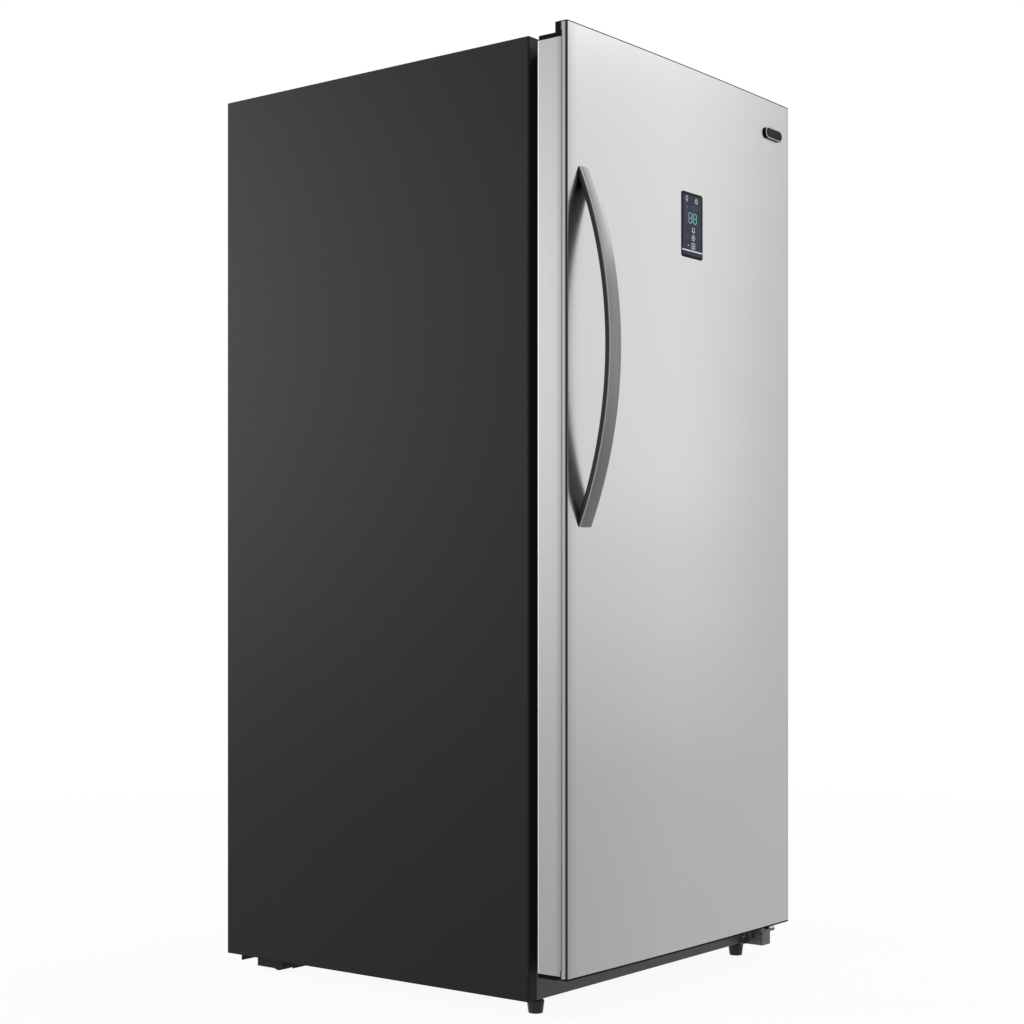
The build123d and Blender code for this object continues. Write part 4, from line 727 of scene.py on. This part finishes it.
symbols = millimetres(
    # at the top a lamp and a padlock
    ring(-17, 45.5, 3.2, 12) + [(-18.6, 41.2, -15.4, 41.2), (-18.2, 39.6, -15.8, 39.6)]
    + rectangle(9.5, 39.5, 16.5, 44.5) + ring(13, 45.2, 2.2, 8, 0, 0.5)
    # under the digits a bell, a ring and a box with a cross in each, and a dash
    + [(-1.5, -10, 8.5, -10), (0, -10, 1, -3.5), (7, -10, 6, -3.5), (1, -3.5, 6, -3.5), (2.3, -12, 4.7, -12)]
    + ring(3.5, -20.5, 4.6, 16) + cross(3.5, -20.5, 2.5)
    + rectangle(-1.2, -39, 8.2, -30) + cross(3.5, -34.5, 2.5)
    + [(-14, -34.5, -10, -34.5)])
faintSymbols = millimetres(
    # a star, a hook and a ring above the digits, and a bracket and an open ring at the left, not lit
    [(-20, 30, -13, 30), (-18.2, 27, -14.8, 33), (-14.8, 27, -18.2, 33)]
    + [(0, 33, 6, 33), (6, 33, 2, 24)] + ring(14, 29, 3.0, 12)
    + [(-19, 21, -14, 21), (-19, 4, -14, 4), (-19, 21, -19, 4)] + ring(-15, -20, 3.0, 12, 0.4, 0.8))
(leftX, leftZ), (rightX, rightZ) = display["digitPlaces"]
offBars = digit(leftX, leftZ, "adefg") + digit(rightX, rightZ, "adg")
onBars = digit(leftX, leftZ, "bc") + digit(rightX, rightZ, "bcef")
for name, lines, width, colour, light in (
        ("displaySymbols", symbols, display["line"], display["symbolColour"], display["symbolLight"]),
        ("displayFaint", faintSymbols, display["line"], display["faintColour"], 0.0),
        ("displayDigitsOff", offBars, display["digitLine"], display["digitOff"], 0.0),
        ("displayDigitsOn", onBars, display["digitLine"], display["digitOn"], display["digitLight"])):
    points, faces = strokes(lines, width, -display["printSunk"], display["printProud"])
    makePiece(name, onGlass(points), faces, "door", "display_black", glow(name, colour, light))

halfBorder, depth = display["border"] / 2, display["borderDepth"]
borderProfile = np.array([(-halfBorder, -depth), (halfBorder, -depth), (halfBorder, depth), (-halfBorder, depth)])
wide, tall = (glassHigh - glassLow)[[0, 2]] - 2 * display["borderInset"] - halfBorder
points, faces = sweptFrame(wide, tall, display["borderCorner"], display["borderSteps"], borderProfile, onGlass)
makePiece("displayFrame", points, faces, "door", "display_black", glow("displayFrame", display["borderShade"], 0.0))

stripZ = glassLow[2] + display["stripFromBottom"] - glassMiddle[2]
reach = (glassHigh[0] - glassLow[0]) / 2 - display["stripMargin"]
points, faces = strokes([(-reach, stripZ, reach, stripZ)], display["stripHeight"], -display["stripSunk"],
                        display["stripProud"])
makePiece("displayStrip", onGlass(points), faces, "door", "steel_pin",
          brushedMetal("stripMetal", display["stripFinish"]))
print("display marked")

# badge: a bare pill with a bright rim
badge = {
    "proud": 0.004, "rim": 0.0010, "rimProud": 0.0006, "inset": 0.0011, "steps": 12, "sides": 10,
    "straight": 0.00001,        # what its round ends leave of its height
    "rimFinish": {**polished, "colour": (0.72, 0.72, 0.72), "roughness": 0.22},
}
badgeLow, badgeHigh = (np.array(corner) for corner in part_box("badge_plate"))
badgeMiddle = (badgeLow + badgeHigh) / 2


def onBadge(flat):
    # (across, up, forward) measured from the middle of the badge's face, which follows the door's front
    x = badgeMiddle[0] + flat[:, 0]
    return np.stack([x, doorFront(x) - badge["proud"] - flat[:, 2], badgeMiddle[2] + flat[:, 1]], axis=1)


angle = np.linspace(0, 2 * math.pi, badge["sides"], endpoint=False)
rimProfile = np.stack([badge["rim"] / 2 * np.cos(angle), badge["rimProud"] * np.sin(angle)], axis=1)
wide, tall = (badgeHigh - badgeLow)[[0, 2]] - 2 * badge["inset"]
points, faces = sweptFrame(wide, tall, tall / 2 - badge["straight"], badge["steps"], rimProfile, onBadge)
makePiece("badgeRim", points, faces, "door", "steel_pin", brushedMetal("rimMetal", badge["rimFinish"]), smooth=True)
print("badge rimmed")

# room: pale floor, white surroundings and soft lamps
room = {
    "floorColour": (0.92, 0.92, 0.92), "floorSize": 30.0,
    "white": (0.93, 1.0), "whiteFrom": (1.2, 3.5),      # the floor's white share near the object and far from it
    "ambient": 0.5,         # what matte surfaces get from the white surroundings
    "aim": (0.0, -0.1, 0.9),
}
lamps = {
    "wallHigh": {"place": (2.82, -3.79, 2.10), "size": (3.8, 2.3), "radiance": 0.26},
    "wallMiddle": {"place": (2.75, -3.70, 1.85), "size": (3.8, 2.8), "radiance": 0.20},
    "wallLow": {"place": (2.68, -3.61, 1.65), "size": (3.8, 3.2), "radiance": 0.20},
    "overhead": {"place": (2.4, -1.95, 4.1), "size": (4.0, 3.4), "radiance": 1.9},
    "fill": {"place": (-2.2, 3.5, 1.65), "size": (3.0, 2.1), "radiance": 5.1},
}


def softLamp(name, look):
    # an area lamp that faces the aim: its power is radiance times pi times its area
    data = bpy.data.lights.new(name, "AREA")
    data.shape = "RECTANGLE"
    data.size, data.size_y = look["size"]
    data.energy = look["radiance"] * math.pi * data.size * data.size_y
    lamp = bpy.data.objects.new(name, data)
    lamp.location = look["place"]
    lamp.rotation_euler = (Vector(look["place"]) - Vector(room["aim"])).to_track_quat("Z", "Y").to_euler()
    bpy.context.scene.collection.objects.link(lamp)


for lampName, look in lamps.items():
    softLamp(lampName + "Lamp", look)


def seenAsBackground(graph):
    # 1 for rays from the camera and for those that come off gloss or through glass
    node = graph.add("ShaderNodeLightPath").socket.node
    cameraRay, glossRay, throughRay = (
        Value(graph, node.outputs[kind]) for kind in ("Is Camera Ray", "Is Glossy Ray", "Is Transmission Ray"))
    return (cameraRay + glossRay + throughRay).clamped()


def whiteFloor():
    # matte, and for background rays its share of pure white grows with the distance from the object
    graph = Graph("floorPaint")
    matte = graph.add("ShaderNodeBsdfDiffuse", inputs={"Color": room["floorColour"]})
    white = graph.add("ShaderNodeEmission", inputs={"Color": (1, 1, 1), "Strength": 1.0})
    distance = graph.add("ShaderNodeVectorMath", {"operation": "LENGTH"}, {0: graph.place()}, 1)
    nearShare, farShare = room["white"]
    share = graph.ramp(distance, *room["whiteFrom"]) * (farShare - nearShare) + nearShare
    mixed = graph.add("ShaderNodeMixShader", inputs={0: seenAsBackground(graph) * share, 1: matte, 2: white})
    graph.add("ShaderNodeOutputMaterial", inputs={"Surface": mixed})
    return graph.owner


edge = room["floorSize"] / 2
floorMesh = bpy.data.meshes.new("floor")
floorMesh.from_pydata([(-edge, -edge, 0), (edge, -edge, 0), (edge, edge, 0), (-edge, edge, 0)], [], [(0, 1, 2, 3)])
floorMesh.materials.append(whiteFloor())
floor = bpy.data.objects.new("floor", floorMesh)
bpy.context.scene.collection.objects.link(floor)

surroundings = bpy.data.worlds.new("surroundings")
bpy.context.scene.world = surroundings
worldGraph = Graph("surroundings", surroundings)
strength = room["ambient"] + seenAsBackground(worldGraph) * (1 - room["ambient"])
sky = worldGraph.add("ShaderNodeBackground", inputs={"Color": (1, 1, 1), "Strength": strength})
worldGraph.add("ShaderNodeOutputWorld", inputs={"Surface": sky})
print("room lit")
